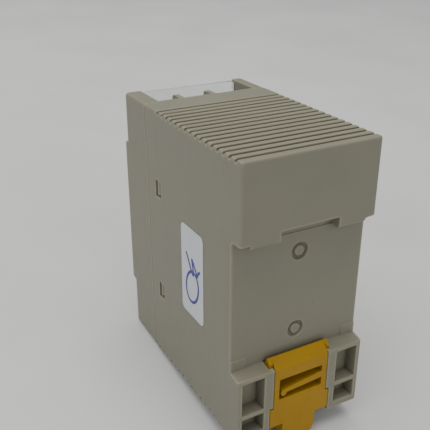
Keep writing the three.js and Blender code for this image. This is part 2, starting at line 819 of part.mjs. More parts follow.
// Domed indicator standing on a small rim, turned about its own axis.
function powerLamp() {
  const base = -smallBoardFront - 0.1;
  const shoulder = base - frontY - lampSetback;
  const rim = lampRadius + lampRim;
  const domeSteps = 5;
  const profile = [[0, 0], [rim, 0], [rim, lampRimHeight], [lampRadius, lampRimHeight], [lampRadius, shoulder]];
  for (let step = 1; step < domeSteps; step += 1) {
    const turn = (step / domeSteps) * (Math.PI / 2);
    profile.push([lampRadius * Math.cos(turn), shoulder + lampDomeHeight * Math.sin(turn)]);
  }
  profile.push([0, shoulder + lampDomeHeight]);
  const shape = new THREE.LatheGeometry(profile.map(([r, h]) => new THREE.Vector2(r, h)), 20);
  shape.rotateX(Math.PI);
  shape.translate(lampX, base, lampZ);
  return solid(shape);
}

function adjusterBody() {
  const front = frontY + panelWall + 0.2;
  const half = adjusterBodyHalf;
  return cut(
    block(
      adjusterX - half, adjusterX + half, front, -smallBoardFront - 0.1,
      adjusterZ - half, adjusterZ + half,
    ),
    barY(adjusterX, adjusterZ, adjusterRadius + adjusterPlay, front - 1, -smallBoardFront - 0.7),
  );
}

// Rotor with a screwdriver slot, one end of which runs on as a shallower pointer.
function adjusterRotor() {
  const front = frontY + adjusterSetback;
  const [left, right] = [adjusterX - adjusterSlot / 2, adjusterX + adjusterSlot / 2];
  const low = adjusterZ - adjusterSlotHalf;
  return cut(
    barY(adjusterX, adjusterZ, adjusterRadius, front, -smallBoardFront - 0.9),
    block(left, right, front - 1, front + 0.9, low, adjusterZ + adjusterSlotHalf),
    block(left, right, front - 1, front + 0.5, low, adjusterZ + adjusterPointer),
  );
}

// Transformer: two E-shaped ferrite halves around a bobbin whose axis runs front to back.
function coreHalfPiece(start, end, open) {
  const inner = coreHalf - coreLeg;
  const back = Math.sign(open - start) * coreLeg;
  const [za, zb] = [transformerZ - coreThickness / 2, transformerZ + coreThickness / 2];
  return join(
    block(-coreHalf, coreHalf, start, start + back, za, zb),
    block(-coreHalf, -inner, start, end, za, zb),
    block(inner, coreHalf, start, end, za, zb),
    block(-coreMiddleHalf, coreMiddleHalf, start, end, za, zb),
  );
}

function bobbin() {
  const [front, rear] = bobbinEnds();
  const tubeX = coreMiddleHalf + bobbinPlay + bobbinWall;
  const tubeZ = coreThickness / 2 + bobbinPlay + bobbinWall;
  const rimX = coreHalf - coreLeg - bobbinPlay;
  const rimZ = tubeZ + bobbinRim;
  const rim = (y) => block(-rimX, rimX, y, y + bobbinWall, transformerZ - rimZ, transformerZ + rimZ);
  return cut(
    join(
      block(-tubeX, tubeX, front, rear, transformerZ - tubeZ, transformerZ + tubeZ),
      rim(front), rim(rear - bobbinWall),
    ),
    block(
      -coreMiddleHalf - bobbinPlay, coreMiddleHalf + bobbinPlay, front - 1, rear + 1,
      transformerZ - coreThickness / 2 - bobbinPlay, transformerZ + coreThickness / 2 + bobbinPlay,
    ),
  );
}

function bobbinEnds() {
  const coreFront = -partsStart;
  return [coreFront + coreLeg + bobbinPlay, coreFront + coreLength - coreLeg - bobbinPlay];
}

function winding() {
  const [front, rear] = bobbinEnds();
  const tubeX = coreMiddleHalf + bobbinPlay + bobbinWall + 0.1;
  const tubeZ = coreThickness / 2 + bobbinPlay + bobbinWall + 0.1;
  const outerX = coreHalf - coreLeg - 0.5;
  const outerZ = tubeZ + windingBuild;
  const outer = alongY(roundedOutline(
    -outerX, outerX, transformerZ - outerZ, transformerZ + outerZ, windingRound,
  ), front + bobbinWall + 0.1, rear - bobbinWall - 0.1);
  return cut(outer, block(-tubeX, tubeX, -caseDepth, 0, transformerZ - tubeZ, transformerZ + tubeZ));
}

// A can capacitor lying front to back: sleeve with a rolled groove near its foot.
function canCapacitor(x, z, radius, length) {
  const groove = 1.6;
  const profile = [
    [0, 0], [radius - canRim, 0], [radius, canRim], [radius, groove], [radius - canRim, groove + 0.6],
    [radius, groove + 1.2], [radius, length - canRim], [radius - canRim, length], [0, length],
  ].map(([r, h]) => new THREE.Vector2(r, h));
  const shape = new THREE.LatheGeometry(profile, 20);
  shape.translate(x, -partsStart, z);
  return solid(shape);
}

// A power package: moulded body with a metal tab that has a screw hole.
function powerPackage(x, way, y, z) {
  const tabFar = x + way * packageTab;
  return cut(
    join(
      block(x, tabFar, y, y + packageLength, z - packageHalf, z + packageHalf),
      block(x, x + way * packageDepth, y, y + packageBody, z - packageHalf, z + packageHalf),
    ),
    barX(y + tabHole, z, tabHoleRadius, x - way, tabFar + way, 16),
  );
}

function sink(x, way, { foot, top, z }) {
  const far = x + way * sinkThickness;
  const end = -partsStart + sinkLength;
  return cut(
    join(
      block(x, far, -partsStart, end, foot, top),
      block(x, x + way * sinkFlange, end - sinkThickness, end, foot, top),
    ),
    barX(holeY, z, sinkHoleRadius, x - way, far + way, 16),
  );
}

function tabScrew(under, way, y, z) {
  return join(
    barX(y, z, smallScrewHead, under, under + way * smallScrewHeadHeight, 16),
    barX(y, z, smallScrewRadius, under + way * 0.1, under - way * smallScrewLength, 16),
  );
}

// Common-mode choke: a ferrite ring with a winding on each side.
function ring(x, z, inner, outer, start, end) {
  const shape = new THREE.Shape();
  shape.absarc(x, z, outer, 0, 2 * Math.PI);
  const hole = new THREE.Path();
  hole.absarc(x, z, inner, 0, 2 * Math.PI);
  shape.holes.push(hole);
  const geometry = new THREE.ExtrudeGeometry(shape, {
    depth: end - start, bevelEnabled: false, curveSegments: 20,
  });
  geometry.applyMatrix4(new THREE.Matrix4().makeBasis(
    new THREE.Vector3(1, 0, 0), new THREE.Vector3(0, 0, 1), new THREE.Vector3(0, -1, 0),
  ));
  geometry.translate(0, end, 0);
  return solid(geometry);
}

function chokeCore() {
  const start = -partsStart + wireThickness + 0.1;
  return ring(chokeX, chokeZ, chokeInner, chokeOuter, start, start + chokeThickness);
}

function chokeWinding(way) {
  const start = -partsStart;
  const coat = ring(
    chokeX, chokeZ, chokeInner - wireThickness, chokeOuter + wireThickness,
    start, start + chokeThickness + 2 * wireThickness + 0.2,
  );
  const core = ring(
    chokeX, chokeZ, chokeInner - 0.1, chokeOuter + 0.1,
    start + wireThickness, start + wireThickness + 0.2 + chokeThickness,
  );
  const half = block(chokeX + way * chokeSplit, chokeX + way * 10, -caseDepth, 0, chokeZ - 10, chokeZ + 10);
  return cut(coat, core).intersect(half);
}

function filmCapacitor() {
  const { left, right, foot, top, length, round } = filmBoxSize;
  return alongY(roundedOutline(left, right, foot, top, round), -partsStart, -partsStart + length);
}

// Bridge rectifier: an upright block with one corner cut off to mark its polarity.
function rectifier() {
  const { left, right, foot, top, length, corner } = bridgeSize;
  const end = -partsStart + length;
  return alongX(outline(
    [-partsStart, foot], [-partsStart, top], [end, top], [end, foot + corner], [end - corner, foot],
  ), left, right);
}

function fuse() {
  const { drop, stand, half, capLength, capRadius, tubeRadius } = fuseSize;
  const y = -partsStart + stand;
  const z = boardTop - drop;
  return join(
    barX(y, z, tubeRadius, -half + 1, half - 1, 18),
    barX(y, z, capRadius, -half, -half + capLength, 18),
    barX(y, z, capRadius, half - capLength, half, 18),
  );
}

// Disc thermistor on two short legs.
function thermistor() {
  const { x, z, stand, radius, half } = discSize;
  const legs = [-1, 1].map((way) => block(
    x - discLeg / 2, x + discLeg / 2, -partsStart, -partsStart + stand - 2,
    z + way * discLegSpread - discLeg / 2, z + way * discLegSpread + discLeg / 2,
  ));
  return join(barX(-partsStart + stand, z, radius, x - half, x + half, 20), ...legs);
}

function drumInductor() {
  const { x, z, radius, waist, flange, length } = drumSize;
  const profile = [
    [0, 0], [radius, 0], [radius, flange], [waist, flange], [waist, length - flange],
    [radius, length - flange], [radius, length], [0, length],
  ].map(([r, h]) => new THREE.Vector2(r, h));
  const shape = new THREE.LatheGeometry(profile, 20);
  shape.translate(x, -partsStart, z);
  return solid(shape);
}

// A chip body with a row of legs above and below it; far is the face away from the board.
function chip({ left, right, foot, top, legs, legLength }, near, far) {
  const step = (right - left) / legs;
  const middle = (near + far) / 2;
  const body = block(left, right, near, far, foot, top);
  const rows = [];
  for (let i = 0; i < legs; i += 1) {
    const x = left + (i + 0.5) * step;
    rows.push(block(
      x - legThickness / 2, x + legThickness / 2, middle - 0.15, middle + 0.15,
      foot - legLength, top + legLength,
    ));
  }
  return join(body, ...rows);
}

function insulationSheet() {
  const near = -innerHalf + sheetPlay;
  const front = -snapWindowRear + 0.9;
  return block(near, near + sheetThickness, front, -channelDepth - wall - 1, boardFoot, boardTop);
}

place('rear_case', rearCase(), beige);
place('front_cover', frontCover(), beige);
place('rail_clip', railClip(), yellow);
place('front_label', frontLabel(), paper);
place('side_sticker', sideSticker(), paper);
for (const zone of [upper, lower]) {
  place(`${zone.name}_flap`, terminalFlap(zone), clear);
  place(`${zone.name}_terminal_block`, terminalBlock(zone), black);
  for (let i = 0; i < 3; i += 1) {
    place(`${zone.name}_contact_${i + 1}`, contactPlate(zone, terminalX(i)), plated);
    place(`${zone.name}_clamp_${i + 1}`, clampWasher(zone, terminalX(i)), plated);
    place(`${zone.name}_screw_${i + 1}`, terminalScrew(zone, terminalX(i)), plated);
  }
}
place('main_board', mainBoard(), board);
place('indicator_board', indicatorBoard(), board);
place('link_header', linkHeader(), black);
place('power_lamp', powerLamp(), lamp);
place('adjuster_body', adjusterBody(), blue);
place('adjuster_rotor', adjusterRotor(), ceramic);
const coreFront = -partsStart;
const coreMiddle = coreFront + coreLength / 2;
place('transformer_core_front', coreHalfPiece(coreFront, coreMiddle - coreGap / 2, coreMiddle), ferrite);
place(
  'transformer_core_rear',
  coreHalfPiece(coreFront + coreLength, coreMiddle + coreGap / 2, coreMiddle), ferrite,
);
place('transformer_bobbin', bobbin(), black);
place('transformer_winding', winding(), tape);
const inputCanZ = boardTop - inputCan.drop;
place('input_capacitor', canCapacitor(inputCan.x, inputCanZ, inputCan.radius, inputCan.length), sleeve);
outputCans.forEach(({ x, z }, i) => place(
  `output_capacitor_${i + 1}`, canCapacitor(x, z, outputCanRadius, outputCanLength), sleeve,
));
place('switch_heatsink', sink(-sinkX, 1, switchPlace), bareMetal);
place('switch_transistor', powerPackage(-packageX, 1, packageY, switchPlace.z), black);
place('switch_screw', tabScrew(-packageX + packageTab + screwedGap, 1, holeY, switchPlace.z), bareMetal);
place('diode_heatsink', sink(sinkX, -1, diodePlace), bareMetal);
place('output_diode', powerPackage(packageX, -1, packageY, diodePlace.z), black);
place('diode_screw', tabScrew(packageX - packageTab - screwedGap, -1, holeY, diodePlace.z), bareMetal);
place('choke_core', chokeCore(), ferrite);
place('choke_winding_1', chokeWinding(1), copper);
place('choke_winding_2', chokeWinding(-1), copper);
place('film_capacitor', filmCapacitor(), filmBox);
place('bridge_rectifier', rectifier(), black);
place('fuse', fuse(), ceramic);
place('thermistor', thermistor(), disc);
place('output_inductor', drumInductor(), ferrite);
place('optocoupler', chip(opticSize, -partsStart, -partsStart + opticSize.height), ceramic);
const chipRear = -boardFront - 0.3;
place('control_chip', chip(controlSize, chipRear - controlSize.height, chipRear), black);
place('insulation_sheet', insulationSheet(), film);

export default model;
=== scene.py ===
"""Looks of a slim power supply for a mounting rail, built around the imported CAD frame.

Pieces are modelled in millimetres in the case's own frame: X across from the middle of the case,
Y from the rear face (0) towards the front (negative), Z up from the foot. settle() then moves each
finished mesh into the row frame, in metres.
"""

import json
import math

import bmesh
import bpy
from mathutils import Matrix, Vector


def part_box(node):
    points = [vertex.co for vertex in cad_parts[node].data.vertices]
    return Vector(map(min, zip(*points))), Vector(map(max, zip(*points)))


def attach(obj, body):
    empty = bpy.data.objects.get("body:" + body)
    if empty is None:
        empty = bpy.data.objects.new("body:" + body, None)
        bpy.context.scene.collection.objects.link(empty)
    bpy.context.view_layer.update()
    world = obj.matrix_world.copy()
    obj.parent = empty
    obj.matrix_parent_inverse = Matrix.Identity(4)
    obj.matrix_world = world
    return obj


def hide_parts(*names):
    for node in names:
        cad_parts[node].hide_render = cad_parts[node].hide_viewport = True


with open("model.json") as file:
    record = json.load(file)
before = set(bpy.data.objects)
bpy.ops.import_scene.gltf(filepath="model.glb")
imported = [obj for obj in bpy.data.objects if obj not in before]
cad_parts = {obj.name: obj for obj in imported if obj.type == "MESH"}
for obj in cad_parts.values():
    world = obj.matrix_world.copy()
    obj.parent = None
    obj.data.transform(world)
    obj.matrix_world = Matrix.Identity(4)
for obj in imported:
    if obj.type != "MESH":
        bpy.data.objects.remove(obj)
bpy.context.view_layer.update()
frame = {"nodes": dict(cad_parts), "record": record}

MM = 0.001
TO_ROW = (
    Matrix.Translation((0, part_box("rear_case")[1].y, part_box("rear_case")[0].z))
    @ Matrix.Scale(MM, 4)
)
FROM_ROW = TO_ROW.inverted()


def span(node):
    """Lowest and highest corner of a CAD node in the case's frame, in millimetres."""
    low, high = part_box(node)
    return FROM_ROW @ low, FROM_ROW @ high


# Case, from the frame
HALF = span("rear_case")[1].x
HEIGHT = span("rear_case")[1].z
ROOF_REACH = -span("rear_case")[0].y
FRONT = span("front_cover")[0].y
WALL = 2.0
SEAM = -49.6
SEAM_STEP = 0.8
SEAM_STEP_FOOT = HEIGHT - 9.8
SEAM_GAP = 0.2
INNER = HALF - WALL
EDGE_ROUND = 0.65
PAST = 1.0  # how far a cutter runs past the face it opens

# Rail channel and hook
CHANNEL = 3.8
CHANNEL_FOOT = HEIGHT / 2 - 17.65
CHANNEL_TOP = HEIGHT / 2 + 17.65
CHANNEL_FOOT_DROP = 1.037
HOOK_DROP = 1.45
HOOK_ROOM = 1.7
HOOK_THICKNESS = 2.5
HOOK_ROUND = 1.3
NOTCH = 8.05
DIMPLE = 2.3
DIMPLE_OFFSET = 10.95
DIMPLE_GROOVE = 0.25

# Rail clip, its slot and the pockets beside it
CLIP_FRONT = -3.6
CLIP_HALF = 8.0
CLIP_SHOULDER_HALF = 9.0
CLIP_SHOULDER_TOP = 6.95
CLIP_TONGUE_REAR = -1.25
CLIP_WINDOW_HALF = 6.45
SLOT_FIT = 0.15
SLOT_FLOOR = -CHANNEL - 0.2
SLOT_LIP = -1.1
SLOT_SHOULDER_TOP = 7.35
POCKET_INNER = 10.9
POCKET_OUTER = HALF - 1.4
POCKET_DRAFT = 0.18
POCKET_HEIGHTS = ((1.8, 7.2), (8.3, 18))

# Ribs
RIB_COUNT = 16
RIB_PITCH = 2.65
RIB_GROOVE = 1.1
RIB_DEPTH = 0.9
RIB_SHOULDER = 0.28
RIB_ROOT = 0.25
ROOF_RIB_START = 2.5
FOOT_RIB_START = 8.9
ROOF_INSIDE = HEIGHT - WALL - RIB_DEPTH / 2

# Front, recesses and snap windows
PANEL_TOP = 60.6
PANEL_FOOT = 15.4
UPPER_FRONT = -63.8
LOWER_FRONT = -63.6
RECESS_RIGHT = 14.15
RECESS_LEFT = -15.25
RECESS_BACK = -53.2
WINDOW_HEIGHT = 4.7
WINDOW_REAR = -41.6
WINDOW_FRONT = -44.8
WINDOW_PLACES = (53.35, 21.8)
TERMINAL_PITCH = 10.0
TERMINAL_PLACES = (TERMINAL_PITCH, 0.0, -TERMINAL_PITCH)


# ---------------------------------------------------------------- modelling

def clear_selection():
    """Back in object mode with nothing selected."""
    if bpy.context.mode != "OBJECT":
        bpy.ops.object.mode_set(mode="OBJECT")
    bpy.ops.object.select_all(action="DESELECT")


def take(*pieces):
    """Selects only these pieces, the first one active."""
    clear_selection()
    for piece in pieces:
        piece.select_set(True)
    bpy.context.view_layer.objects.active = pieces[0]
    return pieces[0]


def apply_place(piece):
    """Moves a piece's place, turn and scale into its mesh."""
    take(piece)
    bpy.ops.object.transform_apply(location=True, rotation=True, scale=True)
    return piece


def block(xa, xb, ya, yb, za, zb):
    """A block between two places on each axis, given in either order."""
    clear_selection()
    bpy.ops.mesh.primitive_cube_add(
        size=1, location=((xa + xb) / 2, (ya + yb) / 2, (za + zb) / 2)
    )
    piece = bpy.context.active_object
    piece.scale = (abs(xb - xa), abs(yb - ya), abs(zb - za))
    return apply_place(piece)


TURNS = {"x": (0, math.pi / 2, 0), "y": (math.pi / 2, 0, 0), "z": (0, 0, 0)}


def rod(axis, centre, radius, start, end, sides=32, far_radius=None):
    """A round bar or cone along an axis; centre gives the other two places, in order."""
    clear_selection()
    middle = list(centre)
    middle.insert("xyz".index(axis), (start + end) / 2)
    bpy.ops.mesh.primitive_cone_add(
        vertices=sides, radius1=radius, radius2=radius if far_radius is None else far_radius,
        depth=abs(end - start), location=middle, rotation=TURNS[axis],
    )
    return apply_place(bpy.context.active_object)


def arc(across, up, radius, start, end, steps=6):
    """Points on a circle between two angles, in degrees."""
    angles = [math.radians(start + (end - start) * i / steps) for i in range(steps + 1)]
    return [(across + radius * math.cos(a), up + radius * math.sin(a)) for a in angles]


def slab(axis, outline, start, end):
    """An outline pushed along an axis: (y, z) outlines along x, (x, z) ones along y, (x, y) along z."""
    clear_selection()
    bpy.ops.mesh.primitive_circle_add(vertices=len(outline), fill_type="NGON")
    piece = bpy.context.active_object
    for vertex, (a, b) in zip(piece.data.vertices, outline):
        vertex.co = {"x": (start, a, b), "y": (a, start, b), "z": (a, b, start)}[axis]
    push = {"x": (end - start, 0, 0), "y": (0, end - start, 0), "z": (0, 0, end - start)}[axis]
    bpy.ops.object.mode_set(mode="EDIT")
    bpy.ops.mesh.select_all(action="SELECT")
    bpy.ops.mesh.extrude_region_move(TRANSFORM_OT_translate={"value": push})
    bpy.ops.mesh.select_all(action="SELECT")
    bpy.ops.mesh.normals_make_consistent(inside=False)
    bpy.ops.object.mode_set(mode="OBJECT")
    return piece


def rounded(a0, a1, b0, b1, radius, steps=6):
    """Outline of a rectangle with round corners."""
    return [
        *arc(a1 - radius, b0 + radius, radius, -90, 0, steps),
        *arc(a1 - radius, b1 - radius, radius, 0, 90, steps),
        *arc(a0 + radius, b1 - radius, radius, 90, 180, steps),
        *arc(a0 + radius, b0 + radius, radius, 180, 270, steps),
    ]


def pick_edges(piece, wanted):
    """In edit mode, selects the edges whose two ends pass the test wanted(a, b)."""
    take(piece)
    bpy.ops.object.mode_set(mode="EDIT")
    bpy.ops.mesh.select_mode(type="EDGE")
    bpy.ops.mesh.select_all(action="DESELECT")
    mesh = bmesh.from_edit_mesh(piece.data)
    for edge in mesh.edges:
        edge.select_set(wanted(edge.verts[0].co, edge.verts[1].co))
    bmesh.update_edit_mesh(piece.data)


def round_edges(piece, wanted, radius, segments=4):
    """Bevels the edges that pass the test."""
    pick_edges(piece, wanted)
    bpy.ops.mesh.bevel(
        offset=radius, offset_type="OFFSET", segments=segments, affect="EDGES", clamp_overlap=False
    )
    bpy.ops.object.mode_set(mode="OBJECT")
    return piece


def move_points(piece, wanted, shift):
    """Moves the corners that pass the test."""
    take(piece)
    bpy.ops.object.mode_set(mode="EDIT")
    bpy.ops.mesh.select_mode(type="VERT")
    bpy.ops.mesh.select_all(action="DESELECT")
    mesh = bmesh.from_edit_mesh(piece.data)
    for vertex in mesh.verts:
        vertex.select_set(wanted(vertex.co))
    bmesh.update_edit_mesh(piece.data)
    bpy.ops.transform.translate(value=shift)
    bpy.ops.object.mode_set(mode="OBJECT")
    return piece


def joined(pieces):
    """Several pieces as one object, each still a closed body of its own."""
    take(*pieces)
    if len(pieces) > 1:
        bpy.ops.object.join()
    return bpy.context.active_object


def combine(piece, others, how):
    """Cuts the others out of a piece one after another, or fuses them onto it."""
    for tool in others:
        take(piece)
        change = piece.modifiers.new("combine", "BOOLEAN")
        change.operation = how
        change.solver = "MANIFOLD"
        change.object = tool
        bpy.ops.object.modifier_apply(modifier=change.name)
        bpy.data.objects.remove(tool)
    return piece


def carve(piece, *others):
    """Cuts the others out of the piece."""
    return combine(piece, others, "DIFFERENCE")


def fuse(piece, *others):
    """Joins the others onto the piece as one body."""
    return combine(piece, others, "UNION")


def soften(piece, radius=0.15, segments=2, from_angle=40):
    """Breaks every remaining sharp edge by a small radius and shades the rest smooth."""
    take(piece)
    bpy.ops.object.mode_set(mode="EDIT")
    bpy.ops.mesh.select_all(action="SELECT")
    bpy.ops.mesh.remove_doubles(threshold=0.002)
    bpy.ops.mesh.dissolve_limited(angle_limit=math.radians(0.5))
    bpy.ops.object.mode_set(mode="OBJECT")
    if radius:
        change = piece.modifiers.new("soften", "BEVEL")
        change.width = radius
        change.segments = segments
        change.limit_method = "ANGLE"
        change.angle_limit = math.radians(from_angle)
        change.use_clamp_overlap = False
        change.harden_normals = False
        bpy.ops.object.modifier_apply(modifier=change.name)
    bpy.ops.object.shade_smooth_by_angle(angle=math.radians(32))
    even = piece.modifiers.new("even", "WEIGHTED_NORMAL")
    even.weight = 100
    even.keep_sharp = True
    bpy.ops.object.modifier_apply(modifier=even.name)
    return piece


def copied(piece, shift):
    """A copy with its own mesh, moved."""
    take(piece)
    bpy.ops.object.duplicate()
    twin = bpy.context.active_object
    twin.data.transform(Matrix.Translation(shift))
    return twin


def settle(piece, name, body, slot, finish, *nodes):
    """Names a finished piece, moves it into the row frame, gives it its finish, ties it to its body and hides
    the CAD nodes it stands for.
    """
    take(piece)
    piece.name = name
    piece.data.name = name
    piece.data.transform(TO_ROW)
    piece.data.materials.clear()
    piece.data.materials.append(finish)
    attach(piece, body)
    if nodes:
        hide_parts(*nodes)
    return piece


# ---------------------------------------------------------------- finishes

WAVES_TO_A_UNIT = 3.18


class Finish:
    """A node material with small helpers, so that each finish reads as a short recipe."""

    def __init__(self, name):
        self.material = bpy.data.materials.new(name)
        self.material.use_nodes = True
        self.tree = self.material.node_tree
        self.surface = self.tree.nodes["Principled BSDF"]
        self.place = self.add("ShaderNodeTexCoord").outputs["Object"]

    def add(self, kind, **settings):
        """A new node with its settings."""
        node = self.tree.nodes.new(kind)
        for key, value in settings.items():
            setattr(node, key, value)
        return node

    def link(self, source, target):
        self.tree.links.new(source, target)

    def stretched(self, stretch):
        """The piece's coordinates scaled on each axis; a small number draws a pattern out."""
        mapping = self.add("ShaderNodeMapping")
        mapping.inputs["Scale"].default_value = stretch
        self.link(self.place, mapping.inputs["Vector"])
        return mapping.outputs["Vector"]

    def noise(self, size_mm, detail=3.0, roughness=0.55, stretch=None):
        """Cloudy pattern with patches of about this size."""
        node = self.add("ShaderNodeTexNoise")
        node.inputs["Scale"].default_value = 1 / (size_mm * MM)
        node.inputs["Detail"].default_value = detail
        node.inputs["Roughness"].default_value = roughness
        self.link(self.stretched(stretch) if stretch else self.place, node.inputs["Vector"])
        return node.outputs["Fac"]

    def cells(self, size_mm):
        """Distance from scattered points about this far apart."""
        node = self.add("ShaderNodeTexVoronoi")
        node.inputs["Scale"].default_value = 1 / (size_mm * MM)
        self.link(self.place, node.inputs["Vector"])
        return node.outputs["Distance"]

    def waves(self, size_mm, direction, distortion=0.0, profile="SIN"):
        """Parallel bands this far apart along an axis."""
        node = self.add("ShaderNodeTexWave", bands_direction=direction, wave_profile=profile)
        node.inputs["Scale"].default_value = 1 / (size_mm * MM) / WAVES_TO_A_UNIT
        node.inputs["Distortion"].default_value = distortion
        self.link(self.place, node.inputs["Vector"])
        return node.outputs["Fac"]

    def between(self, value, low, high, to_low=0.0, to_high=1.0):
        """Stretches the values from low to high over another range."""
        node = self.add("ShaderNodeMapRange")
        node.inputs["From Min"].default_value = low
        node.inputs["From Max"].default_value = high
        node.inputs["To Min"].default_value = to_low
        node.inputs["To Max"].default_value = to_high
        self.link(value, node.inputs["Value"])
        return node.outputs["Result"]

    def ramp(self, value, *stops):
        """Colours along a value: each stop is (place, colour)."""
        node = self.add("ShaderNodeValToRGB")
        while len(node.color_ramp.elements) < len(stops):
            node.color_ramp.elements.new(0.5)
        for element, (where, colour) in zip(node.color_ramp.elements, stops):
            element.position = where
            element.color = (*colour, 1)
        self.link(value, node.inputs["Fac"])
        return node.outputs["Color"]

    def mix(self, share, first, second):
        """The first colour, with this share of the second laid over it."""
        node = self.add("ShaderNodeMix", data_type="RGBA")
        for key, value in (("Factor", share), ("A", first), ("B", second)):
            socket = next(s for s in node.inputs if s.name == key and s.enabled)
            if isinstance(value, bpy.types.NodeSocket):
                self.link(value, socket)
            elif key == "Factor":
                socket.default_value = value
            else:
                socket.default_value = (*value, 1)
        return next(s for s in node.outputs if s.enabled)

    def maths(self, how, first, second):
        """One operation on two values."""
        node = self.add("ShaderNodeMath", operation=how)
        for i, value in enumerate((first, second)):
            if isinstance(value, bpy.types.NodeSocket):
                self.link(value, node.inputs[i])
            else:
                node.inputs[i].default_value = value
        return node.outputs["Value"]

    def crevice(self, reach_mm=1.2):
        """1 in corners and grooves, 0 on open faces."""
        node = self.add("ShaderNodeAmbientOcclusion", samples=6, only_local=True)
        node.inputs["Distance"].default_value = reach_mm * MM
        return self.between(node.outputs["AO"], 0.35, 0.85, 1.0, 0.0)

    def edges(self, reach_mm=0.8):
        """1 along outward edges, 0 on open faces."""
        node = self.add("ShaderNodeAmbientOcclusion", samples=6, only_local=True, inside=True)
        node.inputs["Distance"].default_value = reach_mm * MM
        return self.between(node.outputs["AO"], 0.5, 0.93, 1.0, 0.0)

    def bump(self, *layers):
        """Stacks (height, depth in mm) layers into one normal."""
        normal = None
        for height, depth_mm in layers:
            node = self.add("ShaderNodeBump")
            node.inputs["Strength"].default_value = 1.0
            node.inputs["Distance"].default_value = depth_mm * MM
            self.link(height, node.inputs["Height"])
            if normal is not None:
                self.link(normal, node.inputs["Normal"])
            normal = node.outputs["Normal"]
        self.link(normal, self.surface.inputs["Normal"])

    def done(self, colour, roughness, **fixed):
        """Links colour and roughness, sets the sockets that are the same all over."""
        for key, value in (("Base Color", colour), ("Roughness", roughness)):
            socket = self.surface.inputs[key]
            if isinstance(value, bpy.types.NodeSocket):
                self.link(value, socket)
            else:
                socket.default_value = (*value, 1) if key == "Base Color" else value
        for key, value in fixed.items():
            self.surface.inputs[key.replace("_", " ")].default_value = value
        return self.material


def shaded(colour, shares):
    """A colour with red, green and blue each made lighter (share over 1) or darker."""
    return tuple(min(1.0, c * share) for c, share in zip(colour, shares))


def tint(colour, share):
    """A colour made lighter or darker as a whole."""
    return shaded(colour, (share, share, share))


def moulded_plastic(name, colour, roughness=0.5, grain_mm=0.35, corner_shade=0.35):
    """Moulded plastic: spark-eroded grain, patchy ageing, specks, painted shade in corners and grooves, and
    pale edges that are partly wear and partly a painted highlight.
    """
    f = Finish(name)
    grain_depth, age, highlight_and_wear = 0.012, 0.05, 0.6
    patches = f.noise(22, detail=4)
    grime = f.noise(5, detail=6, roughness=0.7)
    base = f.ramp(patches, (0.3, tint(colour, 1 - age)), (0.7, tint(colour, 1 + age)))
    smudged = f.mix(f.between(grime, 0.52, 0.78, 0.0, 0.22), base, tint(colour, 0.82))
    specks = f.between(f.cells(3.1), 0.05, 0.075, 0.5, 0.0)
    sparse = f.maths("MULTIPLY", specks, f.between(f.noise(9, detail=1), 0.6, 0.64))
    speckled = f.mix(sparse, smudged, tint(colour, 0.35))
    # Painted shade: corners, grooves and pockets darkened through an ambient occlusion mask.
    corner_shaded = f.mix(
        f.maths("MULTIPLY", f.crevice(), corner_shade), speckled,
        shaded(colour, (0.42, 0.38, 0.30)),
    )
    # Painted highlight, partly wear: outward edges made paler through an inside ambient occlusion mask.
    pale = shaded(colour, (1.85, 1.78, 1.55))
    highlighted_and_worn = f.mix(f.maths("MULTIPLY", f.edges(), highlight_and_wear), corner_shaded, pale)
    rub = f.noise(2.2, detail=5, stretch=(1, 1, 0.6))
    gloss = f.maths(
        "ADD", f.between(rub, 0.35, 0.7, -0.02, 0.03),
        f.between(patches, 0.3, 0.7, roughness - 0.05, roughness + 0.06),
    )
    f.bump((f.noise(grain_mm, detail=2), grain_depth), (patches, 0.05))
    return f.done(highlighted_and_worn, gloss, IOR=1.5, Specular_IOR_Level=0.42)


def yellow_plastic():
    """Bright acetal of the rail clip: smoother than the case, with faint flow lines, stains and painted shade
    in its recesses.
    """
    colour = (0.345, 0.188, 0.0004)
    f = Finish("yellow_acetal")
    flow = f.noise(7, detail=5, stretch=(1, 1, 0.35))
    base = f.ramp(flow, (0.3, tint(colour, 0.9)), (0.7, tint(colour, 1.08)))
    stain = f.mix(f.between(f.noise(3, detail=6), 0.55, 0.8, 0, 0.3), base, tint(colour, 0.7))
    # Painted shade: the window and other recesses darkened to brown through an ambient occlusion mask.
    deep = f.mix(f.maths("MULTIPLY", f.crevice(1.0), 0.75), stain, (0.16, 0.05, 0.001))
    scratches = f.noise(0.6, detail=4, stretch=(0.2, 1, 1))
    f.bump((f.noise(0.5, detail=2), 0.01), (scratches, 0.006))
    return f.done(
        deep, f.between(scratches, 0.3, 0.75, 0.3, 0.45),
        IOR=1.45, Specular_IOR_Level=0.3,
    )


def clear_plastic():
    """Clear polycarbonate: handling haze and hairline scratches in its gloss."""
    f = Finish("clear_polycarbonate")
    haze = f.noise(8, detail=5)
    hairlines = f.noise(0.5, detail=3, stretch=(0.08, 1, 1))
    gloss = f.maths("ADD", f.between(haze, 0.4, 0.75, 0.02, 0.14), f.between(hairlines, 0.6, 0.75, 0.0, 0.08))
    tone = f.ramp(haze, (0.3, (0.93, 0.96, 0.95)), (0.8, (0.88, 0.91, 0.90)))
    f.bump((hairlines, 0.002), (haze, 0.01))
    return f.done(tone, gloss, IOR=1.3, Transmission_Weight=0.97)


def sticker_paper():
    """Matt coated paper with a faint fibre and a little yellowing."""
    f = Finish("sticker_paper")
    fibre = f.noise(0.25, detail=4)
    patch = f.noise(9, detail=3)
    tone = f.ramp(patch, (0.3, (0.55, 0.58, 0.61)), (0.75, (0.61, 0.63, 0.65)))
    soiled = f.mix(f.between(f.noise(2.2, detail=6), 0.55, 0.85, 0, 0.18), tone, (0.5, 0.49, 0.45))
    f.bump((fibre, 0.006), (patch, 0.05))
    return f.done(soiled, f.between(fibre, 0.3, 0.7, 0.42, 0.58), IOR=1.45)


